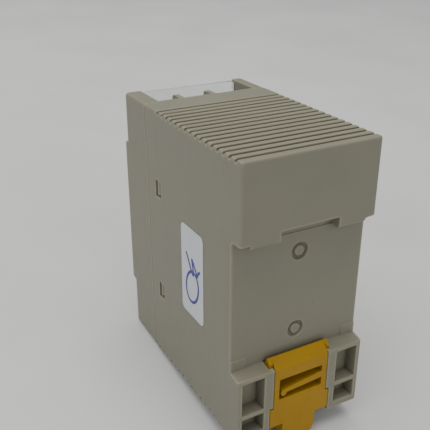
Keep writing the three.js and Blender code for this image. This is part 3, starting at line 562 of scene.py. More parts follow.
def pen_ink():
    """Ball-pen ink: denser in places, with a slight sheen."""
    f = Finish("pen_ink")
    flow = f.noise(0.8, detail=4)
    tone = f.ramp(flow, (0.3, (0.012, 0.010, 0.20)), (0.8, (0.03, 0.026, 0.32)))
    f.bump((flow, 0.004))
    return f.done(tone, f.between(flow, 0.3, 0.7, 0.35, 0.5))


def label_film():
    """Satin printed film of the front label, with a hair-fine screen-print texture."""
    f = Finish("label_film")
    weave = f.noise(0.3, detail=2)
    patch = f.noise(12, detail=3)
    tone = f.ramp(patch, (0.3, (0.60, 0.61, 0.60)), (0.7, (0.66, 0.67, 0.66)))
    f.bump((weave, 0.004), (patch, 0.03))
    return f.done(tone, f.between(weave, 0.3, 0.7, 0.3, 0.42), Coat_Weight=0.15, Coat_Roughness=0.25)


def print_ink(name, colour):
    """Screen-print ink with a slightly uneven cover."""
    f = Finish(name)
    grain = f.noise(0.4, detail=4)
    tone = f.ramp(grain, (0.25, tint(colour, 0.85)), (0.75, tint(colour, 1.1)))
    f.bump((grain, 0.003))
    return f.done(tone, f.between(grain, 0.3, 0.7, 0.35, 0.5))


def plain_metal(name, colour, roughness=0.3, tarnish=(0.45, 0.36, 0.2)):
    """Metal with a drawn grain and light tarnish in patches and corners."""
    f = Finish(name)
    brushed = f.noise(0.35, detail=4, stretch=(1, 0.1, 1))
    patch = f.noise(2.5, detail=5)
    base = f.ramp(brushed, (0.3, tint(colour, 0.86)), (0.7, tint(colour, 1.08)))
    aged = f.mix(f.between(patch, 0.5, 0.8, 0, 0.25), base, tarnish)
    deep = f.mix(f.maths("MULTIPLY", f.crevice(0.8), 0.5), aged, tint(tarnish, 0.3))
    gloss = f.maths(
        "ADD", f.between(brushed, 0.3, 0.7, roughness - 0.07, roughness + 0.07),
        f.between(patch, 0.5, 0.8, 0, 0.15),
    )
    f.bump((brushed, 0.006), (patch, 0.01))
    return f.done(deep, gloss, Metallic=1.0)


def circuit_board():
    """Green solder mask over copper tracks and a faint glass weave."""
    f = Finish("solder_mask")
    blocks = f.add("ShaderNodeTexBrick", offset=0.37, squash=1.0)
    blocks.inputs["Scale"].default_value = 1.0
    blocks.inputs["Brick Width"].default_value = 5.2 * MM
    blocks.inputs["Row Height"].default_value = 2.3 * MM
    blocks.inputs["Mortar Size"].default_value = 0.35 * MM
    upright = f.add("ShaderNodeMapping")
    upright.inputs["Rotation"].default_value = (math.pi / 2, 0, 0)
    f.link(f.place, upright.inputs["Vector"])
    f.link(upright.outputs["Vector"], blocks.inputs["Vector"])
    tracks = f.between(blocks.outputs["Fac"], 0.3, 0.7)
    tone = f.mix(tracks, (0.035, 0.16, 0.055), (0.015, 0.085, 0.03))
    patch = f.mix(f.between(f.noise(6, detail=4), 0.4, 0.8, 0, 0.3), tone, (0.03, 0.11, 0.03))
    weave = f.waves(0.5, "X")
    f.bump((tracks, 0.03), (weave, 0.003))
    return f.done(patch, f.between(weave, 0, 1, 0.3, 0.4), Coat_Weight=0.3, Coat_Roughness=0.15)


def sintered_ferrite():
    """Dull grey-black ferrite with a sandy surface and small pits."""
    f = Finish("sintered_ferrite")
    grain = f.noise(0.3, detail=5)
    pits = f.between(f.cells(0.8), 0.1, 0.25, 0.0, 1.0)
    tone = f.ramp(grain, (0.3, (0.030, 0.030, 0.033)), (0.75, (0.06, 0.058, 0.060)))
    f.bump((pits, 0.02), (grain, 0.02))
    return f.done(tone, f.between(grain, 0.3, 0.7, 0.6, 0.8))


def winding_tape():
    """Yellow polyester tape in overlapping turns."""
    f = Finish("winding_tape")
    laps = f.waves(3.0, "Y", distortion=0.4, profile="SAW")
    wrinkle = f.noise(1.5, detail=5)
    tone = f.mix(f.between(laps, 0.85, 1.0, 0, 0.5), (0.62, 0.42, 0.05), (0.40, 0.24, 0.02))
    mottled = f.mix(f.between(wrinkle, 0.45, 0.8, 0, 0.3), tone, (0.7, 0.52, 0.12))
    f.bump((laps, 0.05), (wrinkle, 0.03))
    return f.done(mottled, f.between(wrinkle, 0.3, 0.7, 0.25, 0.4))


def enamelled_wire():
    """Copper wire with amber enamel, with painted shade between turns."""
    f = Finish("enamelled_wire")
    streak = f.noise(0.6, detail=3)
    tone = f.ramp(streak, (0.3, (0.55, 0.19, 0.06)), (0.7, (0.78, 0.33, 0.12)))
    # Painted shade: darker between turns, through an ambient occlusion mask.
    deep = f.mix(f.maths("MULTIPLY", f.crevice(0.5), 0.7), tone, (0.12, 0.03, 0.01))
    f.bump((streak, 0.006))
    return f.done(deep, f.between(streak, 0.3, 0.7, 0.22, 0.36), Metallic=0.85, Coat_Weight=0.4)


def shrink_sleeve():
    """Dark blue sleeve of the cans, with fine shrink ripples."""
    f = Finish("shrink_sleeve")
    ripple = f.noise(1.2, detail=4, stretch=(1, 0.25, 1))
    tone = f.ramp(ripple, (0.3, (0.012, 0.03, 0.10)), (0.75, (0.022, 0.05, 0.16)))
    f.bump((ripple, 0.02), (f.noise(0.3, detail=2), 0.003))
    return f.done(tone, f.between(ripple, 0.3, 0.7, 0.22, 0.38))


def glass_lens(name, colour):
    """Tinted lens of the lamp, with fine diffusing prisms."""
    f = Finish(name)
    prisms = f.cells(0.35)
    tone = f.ramp(f.noise(1.0, detail=2), (0.3, tint(colour, 0.85)), (0.7, tint(colour, 1.1)))
    f.bump((prisms, 0.02))
    return f.done(
        tone, f.between(prisms, 0, 0.5, 0.08, 0.2), IOR=1.5, Transmission_Weight=0.45,
        Emission_Color=(*colour, 1), Emission_Strength=0.15,
    )


BEIGE = (0.205, 0.196, 0.147)
SHELL = moulded_plastic("case_plastic", BEIGE, roughness=0.5, corner_shade=0.45)
YELLOW = yellow_plastic()
CLEAR = clear_plastic()
PAPER = sticker_paper()
PEN = pen_ink()
LABEL = label_film()
LINES = print_ink("label_lines", (0.045, 0.05, 0.055))
STRIPE = print_ink("label_stripe", (0.04, 0.11, 0.20))
BLACK = moulded_plastic("block_plastic", (0.022, 0.022, 0.024), roughness=0.45, corner_shade=0.25)
PLATED = plain_metal("plated_steel", (0.72, 0.70, 0.64))
BOARD = circuit_board()
FERRITE = sintered_ferrite()
TAPE = winding_tape()
COPPER = enamelled_wire()
SLEEVE = shrink_sleeve()
ALUMINIUM = plain_metal("bare_aluminium", (0.78, 0.79, 0.80), roughness=0.38, tarnish=(0.5, 0.5, 0.48))
EPOXY = moulded_plastic("package_epoxy", (0.016, 0.016, 0.017), roughness=0.6, grain_mm=0.2, corner_shade=0.1)
CREAM = moulded_plastic("cream_moulding", (0.62, 0.58, 0.47), roughness=0.45, corner_shade=0.2)
CERAMIC = moulded_plastic("glazed_ceramic", (0.68, 0.64, 0.55), roughness=0.28, grain_mm=0.6, corner_shade=0.2)
FILM_BOX = moulded_plastic("film_box", (0.62, 0.30, 0.04), roughness=0.3, corner_shade=0.2)
LENS = glass_lens("green_lens", (0.05, 0.55, 0.09))
BLUE = moulded_plastic("trimmer_blue", (0.02, 0.10, 0.40), roughness=0.38, corner_shade=0.2)
DISC = moulded_plastic("disc_coating", (0.02, 0.16, 0.09), roughness=0.35, corner_shade=0.2)
FILM = moulded_plastic("insulating_film", (0.72, 0.70, 0.60), roughness=0.3, corner_shade=0.1)


# ---------------------------------------------------------------- camera, lights and floor

def camera():
    """The eye is behind, above and to the right of the unit."""
    place = (84.03, 109.50, 122.11)
    gaze = (-0.432, -0.799, -0.419)
    data = bpy.data.cameras.new("camera")
    data.lens = 56.0
    data.sensor_width = 36.0
    data.clip_start = 0.01
    eye = bpy.data.objects.new("camera", data)
    bpy.context.scene.collection.objects.link(eye)
    eye.location = TO_ROW @ Vector(place)
    eye.rotation_euler = Vector(gaze).to_track_quat("-Z", "Y").to_euler()
    bpy.context.scene.camera = eye


def soft_light(name, place, size, power, colour):
    """A round soft lamp aimed at the middle of the object's frame, in metres and watts."""
    data = bpy.data.lights.new(name, "AREA")
    data.shape = "DISK"
    data.size = size
    data.energy = power
    data.color = colour
    lamp = bpy.data.objects.new(name, data)
    bpy.context.scene.collection.objects.link(lamp)
    lamp.location = place
    lamp.rotation_euler = (-Vector(place)).to_track_quat("-Z", "Y").to_euler()


def studio():
    """Even pale surroundings, a wide lamp above and two weaker ones at the right and behind."""
    world = bpy.data.worlds.new("studio")
    bpy.context.scene.world = world
    world.use_nodes = True
    backdrop = world.node_tree.nodes["Background"]
    backdrop.inputs["Color"].default_value = (0.93, 0.96, 1.0, 1)
    backdrop.inputs["Strength"].default_value = 0.27
    soft_light("overhead", (0.1, -0.1, 0.9), size=1.2, power=10.5, colour=(1.0, 0.98, 0.94))
    soft_light("side", (1.0, 0.1, 0.45), size=1.2, power=2.6, colour=(0.96, 0.98, 1.0))
    soft_light("behind", (-0.1, 1.0, 0.45), size=1.0, power=3.4, colour=(1.0, 0.99, 0.97))


def floor():
    """A pale sweep that meets the lower front edge of the case and the end of the clip's tab."""
    front = Vector((0, LOWER_FRONT, 0))
    tab = Vector((0, CLIP_FRONT / 2, span("rail_clip")[0].z))
    along = (tab - front).normalized()
    normal = Vector((1, 0, 0)).cross(along)
    gap = 0.05
    clear_selection()
    bpy.ops.mesh.primitive_grid_add(x_subdivisions=2, y_subdivisions=2, size=6000)
    sweep = bpy.context.active_object
    tilt = math.atan2(along.z, along.y)
    sweep.data.transform(TO_ROW @ Matrix.Translation(front - normal * gap) @ Matrix.Rotation(tilt, 4, "X"))
    sweep.name = "floor"
    paper = Finish("floor_paper")
    tone = paper.ramp(paper.noise(60, detail=3), (0.3, (0.60, 0.61, 0.605)), (0.7, (0.66, 0.67, 0.665)))
    paper.bump((paper.noise(30, detail=2), 0.4))
    sweep.data.materials.append(paper.done(tone, 0.75))


# ---------------------------------------------------------------- rear case

def rib_groove(y, level, way):
    """Cutter for one groove: round at its root and over the ribs beside it."""
    half = RIB_GROOVE / 2
    outer = half + RIB_SHOULDER
    inner = half - RIB_ROOT
    root = -RIB_DEPTH + RIB_ROOT
    points = [
        (y - outer, PAST),
        *arc(y - outer, -RIB_SHOULDER, RIB_SHOULDER, 90, 0, 4),
        *arc(y - inner, root, RIB_ROOT, 180, 270, 3),
        *arc(y + inner, root, RIB_ROOT, 270, 360, 3),
        *arc(y + outer, -RIB_SHOULDER, RIB_SHOULDER, 180, 90, 4),
        (y + outer, PAST),
    ]
    return slab("x", [(a, level + way * b) for a, b in points], -HALF - PAST, HALF + PAST)


def rib_grooves(start, level, way):
    """All the grooves of the roof (way 1) or the foot (way -1)."""
    return [rib_groove(-start - i * RIB_PITCH, level, way) for i in range(RIB_COUNT)]


def case_block():
    """Outer form of the rear shell: its side view with the stepped roof, and round rear and roof edges."""
    step = SEAM - SEAM_STEP
    body = slab("x", [
        (0, 0), (0, HEIGHT), (step, HEIGHT), (step, SEAM_STEP_FOOT), (SEAM, SEAM_STEP_FOOT), (SEAM, 0),
    ], -HALF, HALF)

    def shows_behind(a, b):
        at_rear = min(a.y, b.y) > -0.01
        on_roof = min(a.z, b.z) > HEIGHT - 0.01
        return at_rear and abs(a.z - b.z) > 1 or on_roof and (at_rear or abs(a.y - b.y) > 1)

    return round_edges(body, shows_behind, EDGE_ROUND, 5)


def roof_extension():
    """Roof tongue over the recess's back wall."""
    left, right = RECESS_LEFT + SEAM_GAP, RECESS_RIGHT - SEAM_GAP
    return block(left, right, -ROOF_REACH, SEAM + 1, ROOF_INSIDE, HEIGHT)


def channel_cutter():
    """The rail channel, with a round inner corner under the hook and a sloped foot."""
    return slab("x", [
        (PAST, CHANNEL_FOOT - CHANNEL_FOOT_DROP),
        (-CHANNEL, CHANNEL_FOOT),
        *arc(-CHANNEL + HOOK_ROUND, CHANNEL_TOP - HOOK_ROUND, HOOK_ROUND, 180, 90, 5),
        (PAST, CHANNEL_TOP),
    ], -HALF - PAST, HALF + PAST)


def hook_lip(way):
    """One hanging lip: its lower rear edge is round and its ends are drawn in."""
    foot, root = CHANNEL_TOP - HOOK_DROP, CHANNEL_TOP + 0.6
    chamfer, draw = 0.5, 0.9
    lip = slab("x", [
        (-HOOK_THICKNESS, root), (-HOOK_THICKNESS, foot + chamfer), (-HOOK_THICKNESS + chamfer, foot),
        *arc(-HOOK_ROUND, foot + HOOK_ROUND, HOOK_ROUND, -90, 0, 6),
        (0, root),
    ], way * NOTCH, way * INNER)
    return move_points(lip, lambda v: abs(v.x) > INNER - 0.01 and v.z < CHANNEL_TOP, (-way * draw, 0, 0))


def pocket(way, foot, top):
    """A pocket beside the clip, drafted towards its floor."""
    hole = block(way * POCKET_INNER, way * POCKET_OUTER, -CHANNEL, PAST, foot, top)
    sides = (
        (lambda v: v.z > top - 0.01, (0, 0, -POCKET_DRAFT)),
        (lambda v: v.z < foot + 0.01, (0, 0, POCKET_DRAFT)),
        (lambda v: abs(v.x) > POCKET_OUTER - 0.01, (-way * POCKET_DRAFT, 0, 0)),
        (lambda v: abs(v.x) < POCKET_INNER + 0.01, (way * POCKET_DRAFT, 0, 0)),
    )
    for side, shift in sides:
        move_points(hole, lambda v: v.y < -1 and side(v), shift)
    return hole


def clip_slot():
    """Space for the clip: its plate, tongues and shoulders."""
    plate, shoulder = CLIP_HALF + SLOT_FIT, CLIP_SHOULDER_HALF + SLOT_FIT
    tongue = span("rail_clip")[1].x + SLOT_FIT
    top = CHANNEL_FOOT + 0.2
    return [
        block(-plate, plate, SLOT_FLOOR, PAST, -PAST, top),
        block(-tongue, tongue, SLOT_FLOOR, SLOT_LIP, -PAST, top),
        block(-shoulder, shoulder, SLOT_FLOOR, PAST, -PAST, SLOT_SHOULDER_TOP),
    ]


def ejector_marks():
    """Round ejector marks: a soft ring groove around a slightly sunken disc."""
    rings = []
    for way in (-1, 1):
        z = HEIGHT / 2 + way * DIMPLE_OFFSET
        mouth, root = DIMPLE + DIMPLE_GROOVE, DIMPLE - DIMPLE_GROOVE
        ring = rod("y", (0, z), mouth, -CHANNEL + 0.5, -CHANNEL - 0.75, 40, far_radius=root)
        disc = rod("y", (0, z), 1.25, -CHANNEL - 0.12, -CHANNEL - 0.9, 40, far_radius=1.75)
        rings.append(carve(ring, disc))
    return rings


def window_cutters():
    """Snap windows, cut through both sides at once."""
    half = WINDOW_HEIGHT / 2
    return [
        block(-HALF - PAST, HALF + PAST, WINDOW_FRONT, WINDOW_REAR, z - half, z + half)
        for z in WINDOW_PLACES
    ]


def channel_ledge(way):
    """Small ledge at one end of the foot block, flush with the case's side."""
    floor_y, foot = -CHANNEL, CHANNEL_FOOT
    return block(way * (HALF - 4.3), way * HALF, floor_y - 0.1, floor_y + 0.25, foot - 0.1, foot + 3)


def rear_case():
    """Rear shell: ribs, rail channel with its hook, clip slot, pockets, marks and snap windows."""
    body = fuse(case_block(), roof_extension())
    carve(body, *rib_grooves(ROOF_RIB_START, HEIGHT, 1))
    carve(body, *rib_grooves(FOOT_RIB_START, 0, -1))
    carve(body, channel_cutter())
    foot, top = CHANNEL_TOP - HOOK_DROP, CHANNEL_TOP + HOOK_ROOM
    carve(body, block(-INNER, INNER, SLOT_FLOOR, -HOOK_THICKNESS, foot, top))
    carve(body, block(-NOTCH, NOTCH, SLOT_FLOOR, PAST, foot, top))
    fuse(body, hook_lip(1), hook_lip(-1))
    for foot, top in POCKET_HEIGHTS:
        carve(body, pocket(-1, foot, top), pocket(1, foot, top))
    carve(body, *clip_slot())
    carve(body, *ejector_marks())
    carve(body, *window_cutters())
    carve(body, block(-INNER, INNER, -ROOF_REACH - PAST, -CHANNEL - WALL, WALL, ROOF_INSIDE))
    fuse(body, channel_ledge(-1), channel_ledge(1))
    return soften(body, 0.13, 2)


# ---------------------------------------------------------------- front cover

class Zone:
    """One terminal recess. rise() measures from its shelf outwards, up or down."""

    def __init__(self, name, shelf, out, end, front):
        self.name, self.shelf, self.out, self.end, self.front = name, shelf, out, end, front
        self.depth = abs(end - shelf)

    def rise(self, distance):
        return self.shelf + self.out * distance


UPPER = Zone("upper", PANEL_TOP, 1, HEIGHT, UPPER_FRONT)
LOWER = Zone("lower", PANEL_FOOT, -1, 0, LOWER_FRONT)
ZONES = (UPPER, LOWER)
SHELF_WALL = 2.2
BACK_WALL = 1.4
BLOCK_FRONT = -56.0
PARTITION_FRONT = -60.9
PARTITION_HALF = 0.8
PARTITION_SHORT = 1.3
SCREW_RISE = 5.6
FLAP_AXIS = (-62.3, 1.65)
HINGE_BORE = 0.87
LAMP_PLACE = (-9.0, 54.0)
LAMP_HOLE = 1.7
ADJUSTER_PLACE = (9.0, 23.0)
ADJUSTER_HOLE = 2.2
LABEL_FOOT, LABEL_TOP, LABEL_HALF = 28.5, 48.5, 14.5
LABEL_RECESS = 0.4


def cover_outline():
    """Side view of the front shell; the raised panel has round edges."""
    rear, step = SEAM - SEAM_GAP, SEAM - SEAM_STEP - SEAM_GAP
    step_foot = SEAM_STEP_FOOT - SEAM_GAP
    turn = 0.9
    return [
        (rear, 0), (rear, step_foot), (step, step_foot), (step, HEIGHT),
        (UPPER_FRONT, HEIGHT), (UPPER_FRONT, PANEL_TOP),
        *arc(FRONT + turn, PANEL_TOP - turn, turn, 90, 180, 4),
        *arc(FRONT + turn, PANEL_FOOT + turn, turn, 180, 270, 4),
        (LOWER_FRONT, PANEL_FOOT), (LOWER_FRONT, 0),
    ]


def partition(zone, way):
    """A wall between two terminals, rounded at its front, with a slot at its root."""
    middle = way * TERMINAL_PITCH / 2
    low, high = middle - PARTITION_HALF, middle + PARTITION_HALF
    end = zone.rise(zone.depth - PARTITION_SHORT)
    wall = block(low, high, PARTITION_FRONT, RECESS_BACK + 0.1, zone.rise(-0.1), end)

    def outer_front(a, b):
        return max(a.y, b.y) < PARTITION_FRONT + 0.1 and abs(a.z - end) < 0.1 and abs(b.z - a.z) < 0.1

    round_edges(wall, outer_front, 1.2, 4)
    root = block(low - 1, high + 1, BLOCK_FRONT - 0.1, RECESS_BACK, zone.rise(-0.01), zone.rise(3.9))
    return carve(wall, root)


def snap_tongue(way, z):
    """A tongue whose wedge fills its window up to a narrow slit."""
    outer = INNER - 0.15
    inner = outer - 1.2
    gap = 0.3
    low, high = z - WINDOW_HEIGHT / 2 + gap, z + WINDOW_HEIGHT / 2 - gap
    front, rear = WINDOW_FRONT + 0.55, WINDOW_REAR - gap
    wedge = slab("z", [
        (way * (outer - 0.1), front), (way * (HALF - 0.3), front),
        (way * (outer + 0.7), rear), (way * (outer - 0.1), rear),
    ], low, high)
    blade = block(way * inner, way * outer, RECESS_BACK, WINDOW_REAR + 0.5, low, high)
    root = block(way * inner, way * (INNER + 0.5), RECESS_BACK, SEAM - 2 * SEAM_STEP, low, high)
    return fuse(blade, wedge, root)


def tail_slots(zone):
    """Slots in a recess's back wall for the contacts' tails."""
    return [
        block(x - 1.7, x + 1.7, BLOCK_FRONT - 1, -46.8, zone.rise(1.2), zone.rise(2.4))
        for x in TERMINAL_PLACES
    ]


def front_cover():
    """Front shell: two terminal recesses with their partitions, the panel, and the snap tongues."""
    body = slab("x", cover_outline(), -HALF, HALF)

    def outer_corner(a, b):
        at_side = min(abs(a.x), abs(b.x)) > HALF - 0.01 and abs(a.x - b.x) < 0.01
        return at_side and (min(a.z, b.z) > HEIGHT - 0.01 or max(a.z, b.z) < 0.01)

    round_edges(body, outer_corner, 0.85, 3)
    ahead, behind = FRONT - PAST, RECESS_BACK + BACK_WALL
    label_outline = rounded(-LABEL_HALF, LABEL_HALF, LABEL_FOOT, LABEL_TOP, 1.1)
    for zone in ZONES:
        carve(body, block(RECESS_LEFT, RECESS_RIGHT, ahead, RECESS_BACK, zone.shelf, zone.end + zone.out))
    carve(
        body,
        block(-INNER, INNER, behind, 0, WALL, ROOF_INSIDE),
        block(RECESS_LEFT, RECESS_RIGHT, behind, 0, ROOF_INSIDE - 1, HEIGHT + PAST),
        block(-INNER, INNER, FRONT + 2, 0, PANEL_FOOT + SHELF_WALL, PANEL_TOP - SHELF_WALL),
        block(RECESS_LEFT, RECESS_RIGHT, RECESS_BACK - 1, 0, HEIGHT - 1.6, HEIGHT + PAST),
        slab("y", label_outline, ahead, FRONT + LABEL_RECESS),
        rod("y", LAMP_PLACE, LAMP_HOLE, ahead, FRONT + 3, 40),
        rod("y", ADJUSTER_PLACE, ADJUSTER_HOLE, ahead, FRONT + 3, 40),
        rod("y", ADJUSTER_PLACE, ADJUSTER_HOLE, FRONT + 0.5, FRONT - 0.01, 40, ADJUSTER_HOLE + 0.5),
    )
    for zone in ZONES:
        fuse(body, partition(zone, 1), partition(zone, -1))
    for way in (-1, 1):
        fuse(body, *[snap_tongue(way, z) for z in WINDOW_PLACES])
    for zone in ZONES:
        carve(body, *tail_slots(zone))
        y, lift = FLAP_AXIS
        carve(
            body,
            rod("x", (y, zone.rise(lift)), HINGE_BORE, RECESS_RIGHT - 0.5, RECESS_RIGHT + 1.6, 24),
            rod("x", (y, zone.rise(lift)), HINGE_BORE, RECESS_LEFT - 1.6, RECESS_LEFT + 0.5, 24),
        )
    return soften(body, 0.13, 2)


# ---------------------------------------------------------------- rail clip

def clip_nose_outline(foot, top, *rest):
    """Side view of the nose: a steep front, a small round crest and one broad ramp towards the rail."""
    crest = 0.35
    return [
        (CLIP_FRONT, foot - 1), (CLIP_FRONT, foot),
        *arc(CLIP_FRONT + 1.2, top - crest, crest, 150, 40, 5), *rest,
    ]


def clip_spring(left):
    """Spring arm across the window: it narrows to a round tip."""
    tip_x, tip_z, tip = 5.1, 11.1, 0.95
    return slab("y", [
        (left, 11.8), (tip_x - tip, tip_z - 0.1), *arc(tip_x, tip_z, tip, 200, 440, 10),
        (tip_x - 0.9, tip_z + 1.15), (left, 13.7),
    ], CLIP_FRONT, 0)


def rail_clip():
    """Sliding clip: plate, tongues, ramped nose, shoulders, window with its spring arm, and pull tab."""
    low, high = span("rail_clip")
    tongue_half = high.x
    plate_foot, tongue_foot, foot = 1.15, 6.45, CHANNEL_FOOT - 0.1
    turn = 1.5
    ramp_drop = 1.186
    crest_rear, crest_z = CLIP_FRONT + 1.468, high.z - 0.125
    tongue_top = crest_z - ramp_drop * (CLIP_TONGUE_REAR - crest_rear)
    tab_half, tab_turn = 5.0, 3.6
    nose = clip_nose_outline(foot, high.z, *arc(-turn, foot - turn, turn, 40, 0, 4), (0, foot - 2))
    ears = clip_nose_outline(foot, high.z, (CLIP_TONGUE_REAR, tongue_top), (CLIP_TONGUE_REAR, foot - 1))
    body = fuse(
        block(-CLIP_HALF, CLIP_HALF, CLIP_FRONT, 0, plate_foot, foot - 1.6),
        block(-CLIP_SHOULDER_HALF, CLIP_SHOULDER_HALF, CLIP_FRONT, 0, plate_foot, CLIP_SHOULDER_TOP),
        slab("y", [
            (-tab_half, 2), *arc(-tab_half + tab_turn, low.z + tab_turn, tab_turn, 180, 270, 8),
            *arc(tab_half - tab_turn, low.z + tab_turn, tab_turn, 270, 360, 8), (tab_half, 2),
        ], CLIP_FRONT, 0),
        slab("x", nose, -CLIP_HALF, CLIP_HALF),
        block(-tongue_half, tongue_half, CLIP_FRONT, CLIP_TONGUE_REAR, tongue_foot, foot - 0.5),
        slab("x", ears, -tongue_half, tongue_half),
    )
    window = rounded(-CLIP_WINDOW_HALF, CLIP_WINDOW_HALF, 9.4, 15.5, 0.35, 3)
    carve(body, slab("y", window, CLIP_FRONT - PAST, PAST))
    fuse(body, clip_spring(-CLIP_WINDOW_HALF - 0.4))
    return soften(body, 0.16, 3)


# ---------------------------------------------------------------- sticker and label

PEN_RELIEF = 0.03
PEN_WIDTH = 0.85
INK_RELIEF = 0.02


def side_sticker():
    """Blank sticker on the right side, a pen line's thickness under the CAD's outer face."""
    low, high = span("side_sticker")
    sheet = slab("x", rounded(low.y, high.y, low.z, high.z, 1.5, 8), low.x, high.x - PEN_RELIEF)
    return soften(sheet, 0.03, 1)


def pen_stroke(points):
    """One pen stroke: a flattened bead along a smooth line on the sticker."""
    data = bpy.data.curves.new("stroke", "CURVE")
    data.dimensions = "3D"
    data.bevel_depth = PEN_WIDTH / 2
    data.bevel_resolution = 2
    data.use_fill_caps = True
    line = data.splines.new("NURBS")
    line.points.add(len(points) - 1)
    for point, (y, z) in zip(line.points, points):
        point.co = (0, y, z, 1)
    line.order_u = 3
    line.use_endpoint_u = True
    line.resolution_u = 10
    stroke = bpy.data.objects.new("stroke", data)
    bpy.context.scene.collection.objects.link(stroke)
    take(stroke)
    bpy.ops.object.convert(target="MESH")
    stroke = bpy.context.active_object
    face = span("side_sticker")[1].x - PEN_RELIEF
    flatten = 0.06
    stroke.data.transform(Matrix.Translation((face, 0, 0)) @ Matrix.Scale(flatten, 4, (1, 0, 0)))
    return stroke


def pen_marks():
    """A loose loop and a quick zigzag, as left when a pen is tried out."""
    loop = [
        (-23.2 + 3.2 * math.cos(a) + 1.3 * math.sin(a), 33.6 + 4.6 * math.sin(a) - 0.9 * math.cos(a))
        for a in (math.radians(70 + 22 * i) for i in range(18))
    ]
    zigzag = [
        (-26.4, 42.6), (-24.4, 39.4), (-22.6, 36.9), (-22.4, 38.6), (-23.6, 42.2), (-21.8, 40.2),
        (-20.2, 37.6), (-20.0, 39.4), (-18.8, 39.8),
    ]
    return joined([pen_stroke(loop), pen_stroke(zigzag)])


def front_label():
    """Plain film in the panel's recess."""
    low, high = span("front_label")
    sheet = slab("y", rounded(low.x, high.x, low.z, high.z, 1.0, 8), low.y, high.y)
    return soften(sheet, 0.04, 1)


def ink_bar(xa, xb, za, zb):
    """A printed bar on the label's face."""
    face = span("front_label")[0].y
    return block(xa, xb, face - INK_RELIEF, face + INK_RELIEF, za, zb)


def label_lines():
    """A plain border and the general symbol of a converter: a square split by a slanted line."""
    edge, line, heading = 1.2, 0.28, 4.6
    xa, xb, za, zb = -LABEL_HALF + edge, LABEL_HALF - edge, LABEL_FOOT + edge, LABEL_TOP - edge
    border = ink_bar(xa, xb, za, za + line)
    fuse(
        border, ink_bar(xa, xb, zb - line, zb), ink_bar(xa, xa + line, za, zb),
        ink_bar(xb - line, xb, za, zb), ink_bar(xa, xb, zb - heading, zb - heading + line),
    )
    size, middle, tip, lead = 3.6, 35.6, 0.4, 9.5
    face = span("front_label")[0].y
    symbol = ink_bar(-size, size, middle - size, middle - size + line)
    slant = slab("y", [
        (-size, middle - size), (-size + tip, middle - size), (size, middle + size - tip),
        (size, middle + size), (size - tip, middle + size), (-size, middle - size + tip),
    ], face - INK_RELIEF, face + INK_RELIEF)
    fuse(
        symbol, ink_bar(-size, size, middle + size - line, middle + size),
        ink_bar(-size, -size + line, middle - size, middle + size),
        ink_bar(size - line, size, middle - size, middle + size), slant,
    )
    for way in (-1, 1):
        fuse(symbol, ink_bar(way * size, way * lead, middle - line / 2, middle + line / 2))
    return joined([border, symbol])


def label_stripe():
    """Coloured band along the top of the label."""
    return ink_bar(-LABEL_HALF + 1.9, LABEL_HALF - 1.9, LABEL_TOP - 5.0, LABEL_TOP - 2.1)


def dial_ticks():
    """Ticks around the trimmer, level with the panel's face: every third one is longer."""
    x, z = ADJUSTER_PLACE
    ticks = []
    for i in range(7):
        angle = math.radians(-45 + 45 * i)
        tick = block(-0.14, 0.14, FRONT, FRONT + 0.1, 3.3, 4.2 if i % 3 else 4.6)
        tick.data.transform(Matrix.Translation((x, 0, z)) @ Matrix.Rotation(angle - math.pi / 2, 4, "Y"))
        ticks.append(tick)
    return joined(ticks)


# ---------------------------------------------------------------- flaps

def terminal_flap(zone):
    """Clear flap: a plate with round corners on a barrel with two pins."""
    y, lift = FLAP_AXIS
    gap, sunk, thickness, barrel, pin, pin_reach = 0.2, 0.7, 1.1, 1.05, 0.75, 1.3
    z, end = zone.rise(lift), zone.rise(zone.depth - gap)
    right, left = RECESS_RIGHT - gap, RECESS_LEFT + gap
    front = zone.front + sunk
    plate = block(left, right, front, front + thickness, z, end)

    def free_corner(a, b):
        return abs(a.z - end) < 0.01 and abs(b.z - end) < 0.01 and abs(a.x - b.x) < 0.01

    round_edges(plate, free_corner, 0.9, 4)
    fuse(
        plate,
        rod("x", (y, z), barrel, left, right, 32),
        rod("x", (y, z), pin, left - pin_reach, right + pin_reach, 24),
    )
    return soften(plate, 0.1, 2)


# ---------------------------------------------------------------- terminals

def turned(centre, profile, steps=40):
    """A turned part along Y: profile points are (radius, y), from axis to axis."""
    clear_selection()
    bpy.ops.mesh.primitive_circle_add(vertices=len(profile), fill_type="NOTHING")
    piece = bpy.context.active_object
    for vertex, (radius, y) in zip(piece.data.vertices, profile):
        vertex.co = (centre[0] + radius, y, centre[1])
    pick_edges(piece, lambda a, b: abs(a.x - centre[0]) < 1e-5 and abs(b.x - centre[0]) < 1e-5)
    bpy.ops.mesh.delete(type="EDGE")
    bpy.ops.mesh.select_all(action="SELECT")
    bpy.ops.mesh.spin(steps=steps, angle=2 * math.pi, center=(centre[0], 0, centre[1]), axis=(0, 1, 0))
    bpy.ops.mesh.select_all(action="SELECT")
    bpy.ops.mesh.remove_doubles(threshold=1e-4)
    bpy.ops.mesh.normals_make_consistent(inside=False)
    bpy.ops.object.mode_set(mode="OBJECT")
    return piece


